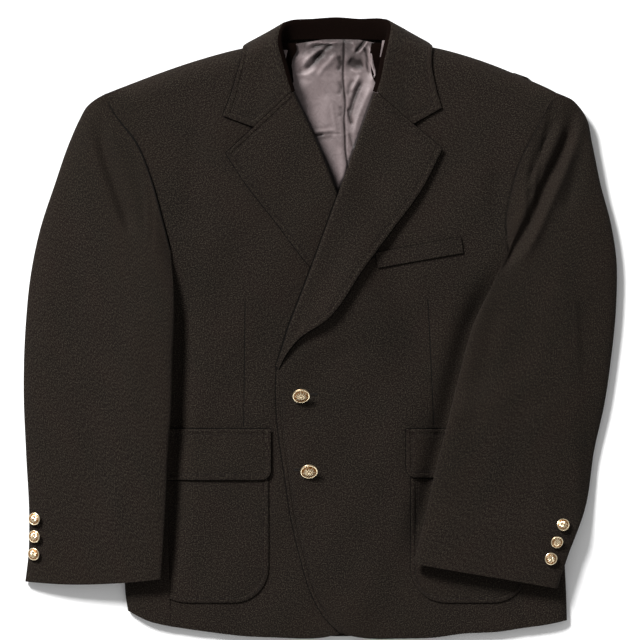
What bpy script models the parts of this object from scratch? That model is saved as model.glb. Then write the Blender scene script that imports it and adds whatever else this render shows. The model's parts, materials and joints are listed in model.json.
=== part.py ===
# Two-button blazer with notched lapels, laid flat on its back.
# Plan places are in millimetres: +X to the reader's right, +Y towards the collar, +Z up from the table.
# Left and right are the wearer's, so the left front is on the reader's right and laps over the right front.

import math

import bmesh
import bpy
from mathutils import Vector

MM = 0.001

# Cloth walls and clearances, mm
BODY_WALL = 1.8
FRONT_WALL = 2.4
SLEEVE_WALL = 1.8
LAPEL_WALL = 2.4
COLLAR_WALL = 2.2
LINING_WALL = 1.0
POCKET_WALL = 1.6
SEAM_INSET = 0.2
PANEL_WIDTH = 230.0
SIDE_PANEL_WIDTH = 30.0
SIDE_PANEL_LENGTH = 400.0
SLEEVE_LENGTH = 410.0
LAPEL_WIDTH = 90.0
LAPEL_SEAM = 0.6
LAPEL_REST = 1.5
SLEEVE_HEAD_GAP = 1.0
FOLD_SEAM_GAP = 0.6
RESTING_GAP = 0.4
LAID_OVER_GAP = 1.0
EDGE_STRIP = 1.2

# How the laid body rounds off: share of the height where front and back meet, and widths of the rounding, mm
EDGE_SHARE = 0.45
SHOULDER_ROUND = 26.0
SIDE_ROUND = 20.0
UNDER_ROUND = 13.0

# The left front rises over the right front and over the right lapel that it hides, mm
OVERLAP_RISE = 3.2
LAPEL_RISE = 5.4
OVERLAP_EASE = 60.0

# The back is lifted by the collar leaf folded under it, mm
LEAF_LIFT = 2.7
LEAF_LIFT_FROM = 326.0
LEAF_LIFT_FULL = 346.0

# Sleeves lying on the body: width of the step down to the table outside it, and height of a pocket under them, mm
STEP_DOWN = 20.0
STEP_SPREAD = 11.0
ARMPIT_DROP = 45.0
ARMPIT_LEVEL = 10.0
ARMHOLE_REACH = 12.0
POCKET_STACK = 5.0
POCKET_RAMP = 45.0

# Buttons, mm
FRONT_BUTTON_DIAMETER = 23.0
CUFF_BUTTON_DIAMETER = 16.0

# The middle of the whole outline in the plan's own numbers, mm, which becomes the origin
PLAN_MIDDLE = Vector((0.3, 0.7, 0.0))


class Chords:
    """A smooth line or number read along straight chords between its knots."""

    def __init__(self, reader, knots):
        self.knots = list(knots)
        self.values = [reader(knot) for knot in knots]

    def at(self, knot):
        i = 0
        while i < len(self.knots) - 2 and knot > self.knots[i + 1]:
            i += 1
        share = (knot - self.knots[i]) / (self.knots[i + 1] - self.knots[i])
        return self.values[i] * (1 - share) + self.values[i + 1] * share


class Smooth:
    """Numbers or points joined smoothly over rising knots."""

    def __init__(self, knots, values):
        self.knots = list(knots)
        self.values = list(values)

    def slope(self, i):
        knots, values = self.knots, self.values
        last = len(knots) - 1
        before = (values[i] - values[i - 1]) / (knots[i] - knots[i - 1]) if i > 0 else None
        after = (values[i + 1] - values[i]) / (knots[i + 1] - knots[i]) if i < last else None
        if before is None:
            return after
        if after is None:
            return before
        near, far = knots[i] - knots[i - 1], knots[i + 1] - knots[i]
        return (before * far + after * near) / (near + far)

    def at(self, knot):
        knots, values = self.knots, self.values
        knot = min(max(knot, knots[0]), knots[-1])
        i = 0
        while i < len(knots) - 2 and knot > knots[i + 1]:
            i += 1
        span = knots[i + 1] - knots[i]
        t = (knot - knots[i]) / span
        rise = t * t * (3 - 2 * t)
        leave = t * (1 - t) ** 2 * span
        arrive = t * t * (t - 1) * span
        return (
            values[i] * (1 - rise)
            + values[i + 1] * rise
            + self.slope(i) * leave
            + self.slope(i + 1) * arrive
        )


def line(*points):
    """A smooth plan line through points, read by its share of length from 0 to 1."""
    places = [Vector(p) for p in points]
    run = [0.0]
    for a, b in zip(places, places[1:]):
        run.append(run[-1] + (b - a).length)
    return Smooth([length / run[-1] for length in run], places)


def path(*stretches):
    """Lines end to end, each given as (line, knot where it starts, knot where it ends)."""

    def at(knot):
        for stretch, start, end in stretches:
            if knot <= end or stretch is stretches[-1][0]:
                return stretch.at((knot - start) / (end - start))

    return at


def patch(bottom, top, left, right, u, v):
    """The plan point at (u, v) between four lines: bottom and top run with u, left and right with v."""
    between_ends = bottom(u) * (1 - v) + top(u) * v
    between_sides = left(v) * (1 - u) + right(v) * u
    low = bottom(0) * (1 - u) + bottom(1) * u
    high = top(0) * (1 - u) + top(1) * u
    return between_ends + between_sides - (low * (1 - v) + high * v)


def ease(share):
    share = min(max(share, 0.0), 1.0)
    return share * share * (3 - 2 * share)


def mix(a, b, share):
    return a * (1 - share) + b * share


def spread(start, end, count):
    """count even steps from start, without the end."""
    return [start + (end - start) * i / count for i in range(count)]


def distance(point, places):
    """How far a plan point is from a run of straight stretches."""
    best = 1e9
    for a, b in zip(places, places[1:]):
        along = b - a
        t = min(max((point - a).dot(along) / along.length_squared, 0.0), 1.0)
        best = min(best, (point - a - along * t).length)
    return best


def sampled(smooth, count):
    return [smooth.at(i / count) for i in range(count + 1)]


# Outlines in plan, mm. Each side of the jacket is one set, because the laid jacket is not symmetric.
RIGHT = {
    "sign": -1,
    "shoulder": line((-53, 363), (-94, 357), (-154, 341.5), (-203, 325), (-250, 307), (-274, 297)),
    "armhole": line((-212, 57), (-203, 68), (-190, 100), (-199, 135), (-215, 192), (-232, 234), (-263, 275), (-274, 297)),
    "armhole_seen": line((-190, 100), (-199, 135), (-215, 192), (-232, 234), (-263, 275), (-274, 297)),
    "armhole_back": line((-236, 52), (-234, 76), (-229, 119), (-232, 176), (-250, 239), (-274, 297)),
    "armpit": Vector((-246, 36)),
    "side_edge": line((-245, -359), (-248, -340), (-249, -294), (-250, -218), (-250, -91), (-246, 36)),
    "side_seam": line((-190, -379), (-194, -250), (-198, -100), (-212, 57)),
    "back_seam": line((-200, -376), (-236, 52)),
    "hem": line((10, -393), (-58, -393), (-100, -391), (-149, -385), (-190, -379)),
    "hem_side": line((-190, -379), (-216, -373), (-245, -359)),
    "hem_back": line((-200, -376), (-216, -373), (-245, -359)),
    "edge": line((10, -393), (33, -360), (48, -313), (61, -256), (69, -192), (74, -130), (71, -55), (51, 30)),
    "roll": line((51, 30), (20, 163), (-10, 239), (-38, 298)),
    "neck": line((-38, 298), (-44.5, 320), (-49, 340), (-53, 363)),
    "lapel_edge": line((43, 27), (-10, 76), (-58, 138), (-94, 184), (-119, 222)),
    "gorge": line((-38, 298), (-84, 255), (-119, 222)),
    "sleeve_inner": line((-190, 100), (-185, 36), (-187, -41), (-189, -106), (-193, -158), (-196, -223), (-202, -318)),
    "sleeve_outer": line(
        (-274, 297), (-288, 289), (-297, 281), (-305, 267), (-318, 238), (-337, 184), (-357, 122), (-368, 68),
        (-374, 10), (-377, -81), (-374, -158), (-370, -243), (-371, -288), (-375, -322),
    ),
    "cuff": line((-202, -318), (-251, -323), (-330, -325), (-375, -322)),
    "break_knot": 0.56,
    "gorge_knot": 0.913,
}
LEFT = {
    "sign": 1,
    "shoulder": line((89, 364), (138, 358.5), (203, 341), (254, 321), (295, 302), (302, 298)),
    "armhole": line((270, 55), (251, 74), (237, 115), (236, 139), (240, 162), (256, 217), (278, 258), (302, 298)),
    "armhole_seen": line((237, 115), (236, 139), (240, 162), (256, 217), (278, 258), (302, 298)),
    "armhole_back": line((299, 52), (294, 75), (284, 119), (282, 176), (291, 239), (302, 298)),
    "armpit": Vector((312, 36)),
    "side_edge": line((315, -371), (314, -335), (312, -294), (315, -218), (316, -91), (312, 36)),
    "side_seam": line((258, -381), (260, -250), (262, -100), (270, 55)),
    "back_seam": line((268, -379.5), (299, 52)),
    "hem": line((25, -387), (39, -391), (57, -394), (102, -394.5), (147, -393), (179, -388.5), (229, -385.5), (258, -381)),
    "hem_side": line((258, -381), (290, -376.5), (315, -371)),
    "hem_back": line((268, -379.5), (290, -376.5), (315, -371)),
    "edge": line((25, -387), (7, -369), (-11, -337), (-25, -291), (-38, -233), (-45, -185), (-53, -130), (-56, -86), (-55, -48)),
    "roll": line((-55, -48), (-7.6, 73), (26.4, 165.8), (73.4, 298)),
    "neck": line((73.4, 298), (80.5, 320), (85, 340), (89, 364)),
    "lapel_edge": line((-47, -47), (9, 11), (56, 78), (90, 124), (128, 176), (155, 228)),
    "gorge": line((73.4, 298), (118, 259), (155, 228)),
    "sleeve_inner": line((237, 115), (239, 88), (216, 49), (197, 11), (179, -51), (163, -116), (145, -186), (131, -250), (118, -298)),
    "sleeve_outer": line(
        (302, 298), (321, 290), (330, 281), (338, 269), (346, 235), (357, 182), (370, 133), (377, 87),
        (377, 36), (370, -40), (362, -95), (349, -154), (338, -225), (314, -291), (301, -330),
    ),
    "cuff": line((118, -298), (180, -309), (240, -319), (301, -330)),
    "break_knot": 0.451,
    "gorge_knot": 0.915,
}
SIDE_KNOT = 0.585
NECK_KNOT = 0.76
CENTRE_BACK = line((22, -392), (30, -100), (28, 200), (20, 366))

# Height of the laid body's upper surface from hem to collar, mm
PLATEAU = Smooth((-394, -250, -100, 0, 100, 200, 300, 400), (11.0, 12.5, 15.0, 19.0, 25.0, 28.0, 30.0, 29.5))

# Where the hidden edge of the right front runs, as X over Y, mm
HIDDEN_EDGE = Smooth(
    (-393, -360, -313, -256, -192, -130, -55, 30, 163, 239, 298),
    (10.0, 33.0, 48.0, 61.0, 69.0, 74.0, 71.0, 51.0, 20.0, -10.0, -38.0),
)

# Sleeve thickness over its share of length, at the fold lying on the body and at the outer fold, mm
INNER_THICKNESS = Smooth((0.0, 0.12, 0.25, 0.5, 0.75, 1.0), (5.2, 14.0, 19.0, 18.0, 15.0, 13.0))
OUTER_THICKNESS = Smooth((0.0, 0.12, 0.25, 0.5, 0.75, 1.0), (30.0, 28.0, 25.0, 21.0, 17.0, 14.0))

# Shares of a sleeve's length where its folds bend, used by both halves
SLEEVE_ROWS = (0.0, 0.02, 0.045, 0.075, 0.11, 0.15, 0.195, 0.245, 0.3, 0.37, 0.45, 0.54, 0.63, 0.72, 0.81, 0.91, 1.0)
FOLD_NAMES = ("sleeve_inner", "sleeve_outer")
UNDERSLEEVE_START = 0.11

# The share of a sleeve's length in which its head blends into the armhole seam
HEAD_SHARE = 0.11

# How square a sleeve's upper and lower section are
UNDERSLEEVE_POWER = 5.0
TOPSLEEVE_POWER = 2.7

# The least thickness of a sleeve where it steps down from the body, mm
LEAST_THICKNESS = 5.4

# A fold is at most this share of the sleeve's thickness deep
FOLD_LIMIT = 0.4

# Drag folds in the sleeve heads: the trough's line, its depth and its half width, mm
SLEEVE_FOLDS = {
    "right": (
        (line((-284, 269), (-273, 219), (-258, 171), (-236, 131), (-216, 85)), 3.5, 13.0),
    ),
    "left": (
        (line((322, 276), (319, 258), (305, 222), (288, 180), (271, 147), (256, 117), (240, 84)), 8.0, 9.0),
        (line((334, 255), (331, 230), (324, 197), (312, 160)), 4.0, 10.0),
    ),
}

SHOULDER_LINES = [sampled(side["shoulder"], 16) for side in (RIGHT, LEFT)]
SIDE_LINES = [sampled(side["side_edge"], 14) for side in (RIGHT, LEFT)]


def material(name, colour, roughness, metallic=0.0):
    made = bpy.data.materials.new(name)
    made.use_nodes = True
    shader = made.node_tree.nodes["Principled BSDF"]
    shader.inputs["Base Color"].default_value = (*colour, 1.0)
    shader.inputs["Roughness"].default_value = roughness
    shader.inputs["Metallic"].default_value = metallic
    return made


def sheet(name, columns, rows, place, wall, side, finish, collection, even=True):
    """A cloth wall: a grid laid by place(column, row), thickened above (1), about (0) or below (-1) its surface."""
    mesh = bpy.data.meshes.new(name)
    grid = bmesh.new()
    across, along = len(columns) - 1, len(rows) - 1
    bmesh.ops.create_grid(grid, x_segments=across, y_segments=along, size=0.5)
    for vertex in grid.verts:
        column = columns[round((vertex.co.x + 0.5) * across)]
        row = rows[round((vertex.co.y + 0.5) * along)]
        vertex.co = (place(column, row) - PLAN_MIDDLE) * MM
    grid.normal_update()
    middle = sum((face.normal.z * face.calc_area() for face in grid.faces))
    if side != 0 and middle < 0:
        bmesh.ops.reverse_faces(grid, faces=grid.faces[:])
    grid.to_mesh(mesh)
    grid.free()
    mesh.shade_smooth()
    piece = bpy.data.objects.new(name, mesh)
    collection.objects.link(piece)
    mesh.materials.append(finish)
    solidify = piece.modifiers.new("Wall", "SOLIDIFY")
    solidify.thickness = wall * MM
    solidify.offset = side
    solidify.use_even_offset = even
    return piece


def inset(share, length):
    """A share of a line drawn in from both ends, so that neighbours keep a seam gap."""
    margin = SEAM_INSET / length
    return margin + share * (1 - 2 * margin)


def round_off(share):
    share = min(max(share, 0.0), 1.0)
    return math.sqrt(1 - (1 - share) ** 2)


def fold_shares(p):
    """How far inside the shoulder and side folds a plan point is."""
    shoulder = min(distance(p, places) for places in SHOULDER_LINES)
    side = min(distance(p, places) for places in SIDE_LINES)
    return shoulder, side


def overlap_rise(p):
    """How far the left front stands above the body's own height."""
    beyond = ease((p.x - HIDDEN_EDGE.at(p.y) - 3.0) / OVERLAP_EASE)
    over_lapel = ease((p.y + 40.0) / 65.0) * (1 - ease((p.y - 172.0) / 70.0))
    return (1 - beyond) * (OVERLAP_RISE + LAPEL_RISE * over_lapel)


def body_top(p):
    shoulder, side = fold_shares(p)
    height = PLATEAU.at(p.y)
    edge = EDGE_SHARE * height
    return edge + (height - edge) * round_off(min(shoulder / SHOULDER_ROUND, side / SIDE_ROUND))


def front_top(p, side):
    return body_top(p) + (overlap_rise(p) if side is LEFT else 0.0)


def body_bottom(p):
    shoulder, side = fold_shares(p)
    edge = EDGE_SHARE * PLATEAU.at(p.y)
    lift = LEAF_LIFT * ease((p.y - LEAF_LIFT_FROM) / (LEAF_LIFT_FULL - LEAF_LIFT_FROM))
    return lift + (edge - lift) * (1 - round_off(min(shoulder, side) / UNDER_ROUND))


def side_line_x(side, y):
    """X of the body's outer fold, or above the armpit of the back armhole."""
    places = sampled(side["side_edge"], 14)
    if y > side["armpit"].y:
        places = [side["armpit"]] + sampled(side["armhole_back"], 14)
    for a, b in zip(places, places[1:]):
        if a.y <= y <= b.y:
            return mix(a.x, b.x, (y - a.y) / max(b.y - a.y, 1e-6))
    return places[-1].x if y > places[-1].y else places[0].x


def pocket_height(p, side):
    """Extra height of the patch pocket and flap that a sleeve lies on."""
    left, right, top, bottom = POCKETS["right" if side is RIGHT else "left"]["zone"]
    out = max(left - p.x, p.x - right, p.y - top, bottom - p.y, 0.0)
    return POCKET_STACK * (1 - ease(out / POCKET_RAMP))


def rest(p, side):
    """Height of what a sleeve lies on: the body, then a step down to the table outside it."""
    inside, armpit = side["sign"], side["armpit"]
    height = 0.0
    for reach in (0.0, STEP_SPREAD):
        near = p - Vector((inside * reach, 0))
        outside = (near.x - side_line_x(side, near.y)) * inside
        share = 1 - ease(outside / STEP_DOWN)
        if outside > -ARMHOLE_REACH:
            share *= 1 - ease((near.y - armpit.y - ARMPIT_LEVEL) / ARMPIT_DROP)
        rise = overlap_rise(near) if side is LEFT else 0.0
        height = max(height, share * (PLATEAU.at(near.y) + rise + pocket_height(near, side) + LAID_OVER_GAP))
    return height


def front_rows(side):
    knot, gorge = side["break_knot"], side["gorge_knot"]
    first, second = sorted((knot, SIDE_KNOT))
    rows = spread(0, first, 7) + spread(first, second, 2) + spread(second, gorge, 7) + spread(gorge, 0.965, 2)
    rows += [0.965, 0.983, 0.9925, 0.9975]
    return [(v, 0.0) for v in rows] + [(1.0, EDGE_STRIP), (1.0, SEAM_INSET)]


def front(name, side, finish, collection):
    """A front panel from its edge, roll line and neck to its side seam and armhole, hem to shoulder."""
    near = path(
        (side["edge"], 0, side["break_knot"]),
        (side["roll"], side["break_knot"], side["gorge_knot"]),
        (side["neck"], side["gorge_knot"], 1),
    )
    far = path((side["side_seam"], 0, SIDE_KNOT), (side["armhole"], SIDE_KNOT, 1))

    def place(u, row):
        v, strip = row
        plan = patch(side["hem"].at, side["shoulder"].at, near, far, inset(u, PANEL_WIDTH), v)
        p = Vector(plan)
        return Vector((p.x, p.y, front_top(p, side) + strip))

    columns = spread(0, 1, 12) + [1.0]
    return sheet(name, columns, front_rows(side), place, FRONT_WALL, -1, finish, collection)


def side_panel(name, side, finish, collection):
    """The panel under the arm, wrapped from the front's side seam round the outer fold to the back's seam."""
    arm_top = line(side["armhole"].at(0), side["armpit"])
    arm_back = line(side["armhole_back"].at(0), side["armpit"])

    def place(column, v):
        u, upper = column
        v = inset(v, SIDE_PANEL_LENGTH)
        if upper:
            p = patch(side["hem_side"].at, arm_top.at, side["side_seam"].at, side["side_edge"].at, inset(u, SIDE_PANEL_WIDTH), v)
            height = body_top(p)
        else:
            p = patch(side["hem_back"].at, arm_back.at, side["back_seam"].at, side["side_edge"].at, inset(u, SIDE_PANEL_WIDTH), v)
            height = body_bottom(p)
        return Vector((p.x, p.y, height))

    columns = [(0.0, True), (0.35, True), (0.62, True), (0.79, True), (0.92, True), (0.985, True)]
    columns += [(0.985, False), (0.93, False), (0.82, False), (0.62, False), (0.0, False)]
    return sheet(name, columns, spread(0, 1, 12) + [1.0], place, BODY_WALL, -1, finish, collection)


def back(name, side, finish, collection):
    """Half of the back, from its side seam and armhole to the centre seam, hem to shoulder and neck."""
    hem = line(side["back_seam"].at(0), mix(side["back_seam"].at(0), Vector((22, -392)), 0.5) + Vector((0, -4)), (22, -392))
    far = path((side["back_seam"], 0, SIDE_KNOT), (side["armhole_back"], SIDE_KNOT, 1))
    shoulder = line(*[side["shoulder"].at(1 - i / 6) for i in range(7)])
    neck = line(side["shoulder"].at(0), (side["shoulder"].at(0) + Vector((20, 367))) / 2 + Vector((0, -1)), (20, 366))
    top = path((shoulder, 0, NECK_KNOT), (neck, NECK_KNOT, 1))

    def place(u, row):
        v, strip = row
        p = patch(hem.at, top, far, CENTRE_BACK.at, inset(u, PANEL_WIDTH), v)
        edge = u <= NECK_KNOT
        return Vector((p.x, p.y, body_bottom(p) - (strip if edge else 0.0)))

    rows = [(v, 0.0) for v in spread(0, SIDE_KNOT, 5) + spread(SIDE_KNOT, 0.94, 6) + [0.94, 0.965, 0.983, 0.9925, 0.9975]]
    rows += [(0.9995, EDGE_STRIP * 0.5), (1.0, EDGE_STRIP)]
    columns = spread(0, NECK_KNOT, 5) + [NECK_KNOT, 0.84, 0.92, 1.0]
    return sheet(name, columns, rows, place, BODY_WALL, 1, finish, collection)


def crown_share(u, power):
    """Height of a flattened tube's wall over its fold, as a share, at a share across."""
    return (1 - abs(1 - 2 * u) ** power) ** (1 / power)


def ring_columns(power, shares):
    """Places across a flattened tube as (share across, share of height), with an upright strip at each fold."""
    half = [(u, crown_share(u, power)) for u in shares]
    places = [(0.0, 0.0), (0.0, 0.16)] + half + [(0.5, 1.0)]
    return places + [(1 - u, height) for u, height in reversed(half)] + [(1.0, 0.16), (1.0, 0.0)]


def fold_depth(p, folds):
    """Depth of the drag folds at a plan point."""
    depth = 0.0
    for trough, deep, half_width in folds:
        places = sampled(trough, 10)
        away = distance(p, places) / half_width
        ends = min((p - places[0]).length, (p - places[-1]).length)
        depth += deep * math.exp(-away * away) * ease(ends / 30.0)
    return depth


def sleeve_edge(side, which, share):
    """A fold of a sleeve at a share of its length: plan place, what it lies on there and its thickness."""
    p = side[which].at(share)
    thickness = INNER_THICKNESS if which == "sleeve_inner" else OUTER_THICKNESS
    return Vector((p.x, p.y, rest(p, side), thickness.at(share)))


def sleeve_folds(side):
    """Both folds of a sleeve along the chords that its upper and lower half share."""
    return [Chords(lambda share: sleeve_edge(side, which, share), SLEEVE_ROWS) for which in FOLD_NAMES]


def topsleeve_surface(side, folds):
    """The outer surface of a topsleeve as a function of ((share across, share of height), share of length)."""
    inner, outer = sleeve_folds(side)

    def place(column, row):
        u, height = column
        v = inset(row, SLEEVE_LENGTH) + (1 - row) * SLEEVE_HEAD_GAP / SLEEVE_LENGTH
        near, far = inner.at(v), outer.at(v)
        p = patch(
            side["armhole_seen"].at, side["cuff"].at, lambda share: inner.at(share).xy,
            lambda share: outer.at(share).xy, u, v,
        )
        edge = mix(near.z + EDGE_SHARE * near.w, far.z + EDGE_SHARE * far.w, u)
        crown = mix(near.z + near.w, far.z + far.w, u)
        laid = edge + (crown - edge) * height + SEAM_INSET
        seam = front_top(p, side) + mix(2.7, 0.4, math.sqrt(u)) + SEAM_INSET
        if 0 < u < 1:
            laid = max(mix(seam, laid, ease(v / HEAD_SHARE)), edge + SEAM_INSET)
            laid = max(laid, rest(p, side) + ease(v / HEAD_SHARE) * LEAST_THICKNESS)
        depth = min(fold_depth(p, folds), FOLD_LIMIT * mix(near.w, far.w, u))
        return Vector((p.x, p.y, laid - depth * height))

    return place


def topsleeve(name, side, folds, finish, collection):
    """The upper half of a sleeve, from the armhole seam to the cuff."""
    columns = ring_columns(TOPSLEEVE_POWER, (0.02, 0.06, 0.12, 0.2, 0.3, 0.4))
    place = topsleeve_surface(side, folds)
    return sheet(name, columns, SLEEVE_ROWS, place, SLEEVE_WALL, -1, finish, collection, even=False)


def undersleeve(name, side, finish, collection):
    """The lower half of a sleeve, lying on the body and the table, from the armhole's lower part to the cuff."""
    inner, outer = sleeve_folds(side)
    sign, start = side["sign"], UNDERSLEEVE_START
    first = inner.at(start).xy
    pit = side["armpit"] + Vector((sign * 2, -8))
    low = line(first, mix(first, pit, 0.5) + Vector((0, -6)), pit)
    high = line(pit, *[side["armhole_back"].at(i / 6) + Vector((sign, 0)) for i in range(6)], outer.at(0).xy)
    top = path((low, 0, 0.4), (high, 0.4, 1))

    def place(column, row):
        u, height = column
        v = inset(row, SLEEVE_LENGTH)
        near, far = inner.at(mix(start, 1, v)), outer.at(v)
        p = patch(
            top, side["cuff"].at, lambda share: inner.at(mix(start, 1, share)).xy,
            lambda share: outer.at(share).xy, u, v,
        )
        inner_edge = near.z + EDGE_SHARE * near.w
        outer_edge = far.z + EDGE_SHARE * far.w
        edge = inner_edge if u < 0.5 else outer_edge
        floor = rest(p, side)
        return Vector((p.x, p.y, edge + (floor - edge) * height - FOLD_SEAM_GAP * (1 - height)))

    columns = ring_columns(UNDERSLEEVE_POWER, (0.03, 0.1, 0.18, 0.26, 0.34, 0.42))
    rows = [row for i, row in enumerate(SLEEVE_ROWS) if i not in (1, 3)]
    return sheet(name, columns, rows, place, SLEEVE_WALL, 1, finish, collection, even=False)


def lapel(name, side, radii, finish, collection):
    """A lapel: it leaves the front's edge at the roll line, turns over and lies back on the front."""
    turns = 5
    bottom = line(side["roll"].at(0), side["lapel_edge"].at(0))
    length = (side["roll"].at(1) - side["roll"].at(0)).length

    def place(column, row):
        turn, u = column
        v = inset(row, length)
        p = patch(bottom.at, side["gorge"].at, side["roll"].at, side["lapel_edge"].at, inset(u, LAPEL_WIDTH), v)
        radius = radii.at(v)
        along = side["roll"].at(min(v + 0.01, 1)) - side["roll"].at(max(v - 0.01, 0))
        outward = Vector((along.y, -along.x)).normalized() * -side["sign"]
        seat = front_top(p, side) - FRONT_WALL / 2 + SEAM_INSET
        if turn < turns:
            angle = math.pi * (turn / turns - 0.5)
            p = p + outward * (radius * math.cos(angle) + LAPEL_SEAM)
            return Vector((p.x, p.y, seat + radius + radius * math.sin(angle)))
        settle = ease(u * 1.6)
        lying = front_top(p, side) + LAPEL_REST + LAPEL_WALL / 2
        return Vector((p.x, p.y, max(mix(seat + 2 * radius, lying, settle), lying)))

    columns = [(turn, 0.0) for turn in range(turns)] + [(turns, u) for u in (0.0, 0.08, 0.2, 0.38, 0.6, 0.82, 1.0)]
    return sheet(name, columns, spread(0, 1, 15) + [1.0], place, LAPEL_WALL, 0, finish, collection)


# The collar's stations from each notch to the centre back, mm. Plan points run from the neck seam over the
# roll to the leaf's outer edge: seam, before the roll, after it, middle of the leaf, outer edge.
COLLAR_PLAN = {
    "right": (
        ((-36.8, 299.2), (-33.4, 301), (-38.4, 299.4), (-84.6, 256), (-123, 270)),
        ((-43.1, 320), (-39.1, 320), (-45, 320), (-78, 298), (-113, 296)),
        ((-47.6, 340), (-45, 341), (-51, 341), (-76, 332), (-104, 326)),
        ((-51.2, 357.4), (-50.2, 363), (-56, 363), (-79, 355), (-98, 347)),
        ((-46, 366), (-48, 380), (-51, 382.5), (-71, 372), (-96, 359.5)),
        ((-30, 367.8), (-37, 390.5), (-40, 390), (-56, 379.5), (-76, 367)),
        ((-6, 368.2), (-9, 393), (-10, 391.5), (-24, 376), (-40, 361)),
    ),
    "left": (
        ((72.0, 299.2), (68.8, 300.6), (74.4, 299), (118.6, 260), (154, 280)),
        ((79.1, 320), (74.4, 320), (80.4, 320), (112, 301), (148, 300)),
        ((83.6, 340), (78.2, 341), (84.4, 341), (113, 334), (142, 328)),
        ((87.0, 357), (83.4, 363), (89.2, 363), (117, 356), (141, 348)),
        ((82, 366), (87.4, 383), (91, 385.5), (113, 373), (141, 360)),
        ((68, 367.8), (77, 392.5), (80, 393), (97, 384), (118, 370)),
        ((46, 368.2), (49, 393), (50, 391.5), (64, 376), (82, 361)),
    ),
}

COLLAR_FALL = 0.42
COLLAR_MIDDLE = 0.7
COLLAR_CENTRE = ((21, 368.4), (21, 395), (21, 393), (21, 373), (21, 353))

# Heights of those five places at each station, mm; the leaf is kept above the front it lies on
COLLAR_HEIGHTS = (
    (28.6, 32.6, 35.4, 31.5, 31.5),
    (26.5, 33.5, 35.8, 31.5, 31.5),
    (22.5, 32.0, 35.2, 31.5, 31.5),
    (18.0, 30.0, 33.0, 30.5, 28.0),
    (11.0, 22.5, 21.5, 19.0, 15.5),
    (8.0, 12.0, 8.6, 5.5, 4.2),
    (6.8, 6.8, 2.3, 1.3, 1.1),
    (6.4, 5.4, 1.7, 1.1, 1.1),
)


def leaf_clear(p):
    """The least height of the leaf's middle over the front it lies on, or none beyond the shoulder fold."""
    side = RIGHT if p.x < COLLAR_CENTRE[0][0] else LEFT
    inward = p - Vector((0, 3.0))
    if p.y > shoulder_y(side, p.x) + 1.0:
        return -10.0
    return front_top(inward, side) + LAID_OVER_GAP + COLLAR_WALL / 2


def shoulder_y(side, x):
    """Y of the shoulder fold at a plan X."""
    places = sampled(side["shoulder"], 16)
    for a, b in zip(places, places[1:]):
        if min(a.x, b.x) <= x <= max(a.x, b.x):
            return mix(a.y, b.y, (x - a.x) / (b.x - a.x))
    return -1000.0


def collar(name, finish, collection):
    """The collar as one band: the stand rises from the neck seam, rolls over, and its leaf falls outside."""
    plans = [*COLLAR_PLAN["right"], COLLAR_CENTRE, *reversed(COLLAR_PLAN["left"])]
    heights = [*COLLAR_HEIGHTS, *reversed(COLLAR_HEIGHTS[:-1])]
    last = len(plans) - 1
    tracks = []
    for i in range(5):
        points = [Vector((*plan[i], height[i])) for plan, height in zip(plans, heights)]
        tracks.append(Smooth(range(last + 1), points))

    def place(column, row):
        section = [track.at(row) for track in tracks]
        if column <= COLLAR_FALL:
            return Smooth((0.0, 0.3, COLLAR_FALL), section[:3]).at(column)
        if column <= COLLAR_MIDDLE:
            p = mix(section[2], section[3], (column - COLLAR_FALL) / (COLLAR_MIDDLE - COLLAR_FALL))
        else:
            p = mix(section[3], section[4], (column - COLLAR_MIDDLE) / (1 - COLLAR_MIDDLE))
        p.z = max(p.z, leaf_clear(p.xy))
        return p

    rows = [0.0, 0.35, 0.7, 1.0, 1.35, 1.7, 2.0, 2.35, 2.7, 3.0, 3.35, 3.7, 4.0, 4.5, 5.0, 6.0, 7.0]
    rows += [last - row for row in reversed(rows[:-1])]
    columns = [0.0, 0.1, 0.2, 0.3, 0.36, COLLAR_FALL, 0.5, 0.6, COLLAR_MIDDLE, 0.8, 0.9, 1.0]
    return sheet(name, columns, rows, place, COLLAR_WALL, 0, finish, collection)


# Creases of the lining that shows in the neck: ridge line, height and half width, mm
LINING_CREASES = (
    (line((-26, 352), (-8, 330), (-30, 300)), 2.6, 8.0),
    (line((62, 360), (66, 330), (60, 290)), 3.0, 7.0),
    (line((32, 360), (33, 290), (36, 210)), 1.6, 5.0),
    (line((46, 322), (38, 290), (44, 262)), 2.2, 8.0),
)


# Lift of the lining's upper corners over the shoulder seams, mm
CORNER_LIFT = 2.2


def back_lining(name, finish, collection):
    """The lining of the back, built where the open neck shows it."""
    left = line((-10, 100), (-12, 168), (-46, 262), (-54, 320), (-43, 360))
    right = line((52, 100), (62, 168), (88, 262), (92, 320), (79, 361))
    bottom = line((-10, 100), (52, 100))
    top = line((-43, 360), (20, 364.6), (79, 361))

    def place(u, v):
        p = patch(bottom.at, top.at, left.at, right.at, u, v)
        crease = sum(
            high * math.exp(-((distance(p, sampled(ridge, 8)) / half_width) ** 2))
            for ridge, high, half_width in LINING_CREASES
        )
        crease *= ease((366 - p.y) / 14.0)
        corner = CORNER_LIFT * ease((abs(p.x - 20) - 40) / 20) * ease((p.y - 345) / 15)
        return Vector((p.x, p.y, body_bottom(p) + BODY_WALL + LAID_OVER_GAP + LINING_WALL + corner + crease))

    return sheet(name, spread(0, 1, 10) + [1.0], spread(0, 1, 12) + [1.0], place, LINING_WALL, -1, finish, collection)


# Patch pockets and flaps, mm: outer corners of each, with the radius of the lower corners
POCKETS = {
    "right": {
        "patch": {"left": -214, "right": -66, "top": -133, "bottom": -348, "corner": 44},
        "flap": {"left": -217, "right": -63, "top": -128, "bottom": -192, "corner": 12},
        "zone": (-217, -63, -120, -348),
    },
    "left": {
        "patch": {"left": 116, "right": 264, "top": -133, "bottom": -348, "corner": 44},
        "flap": {"left": 110, "right": 266, "top": -128, "bottom": -189, "corner": 12},
        "zone": (110, 266, -120, -348),
    },
}


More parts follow.
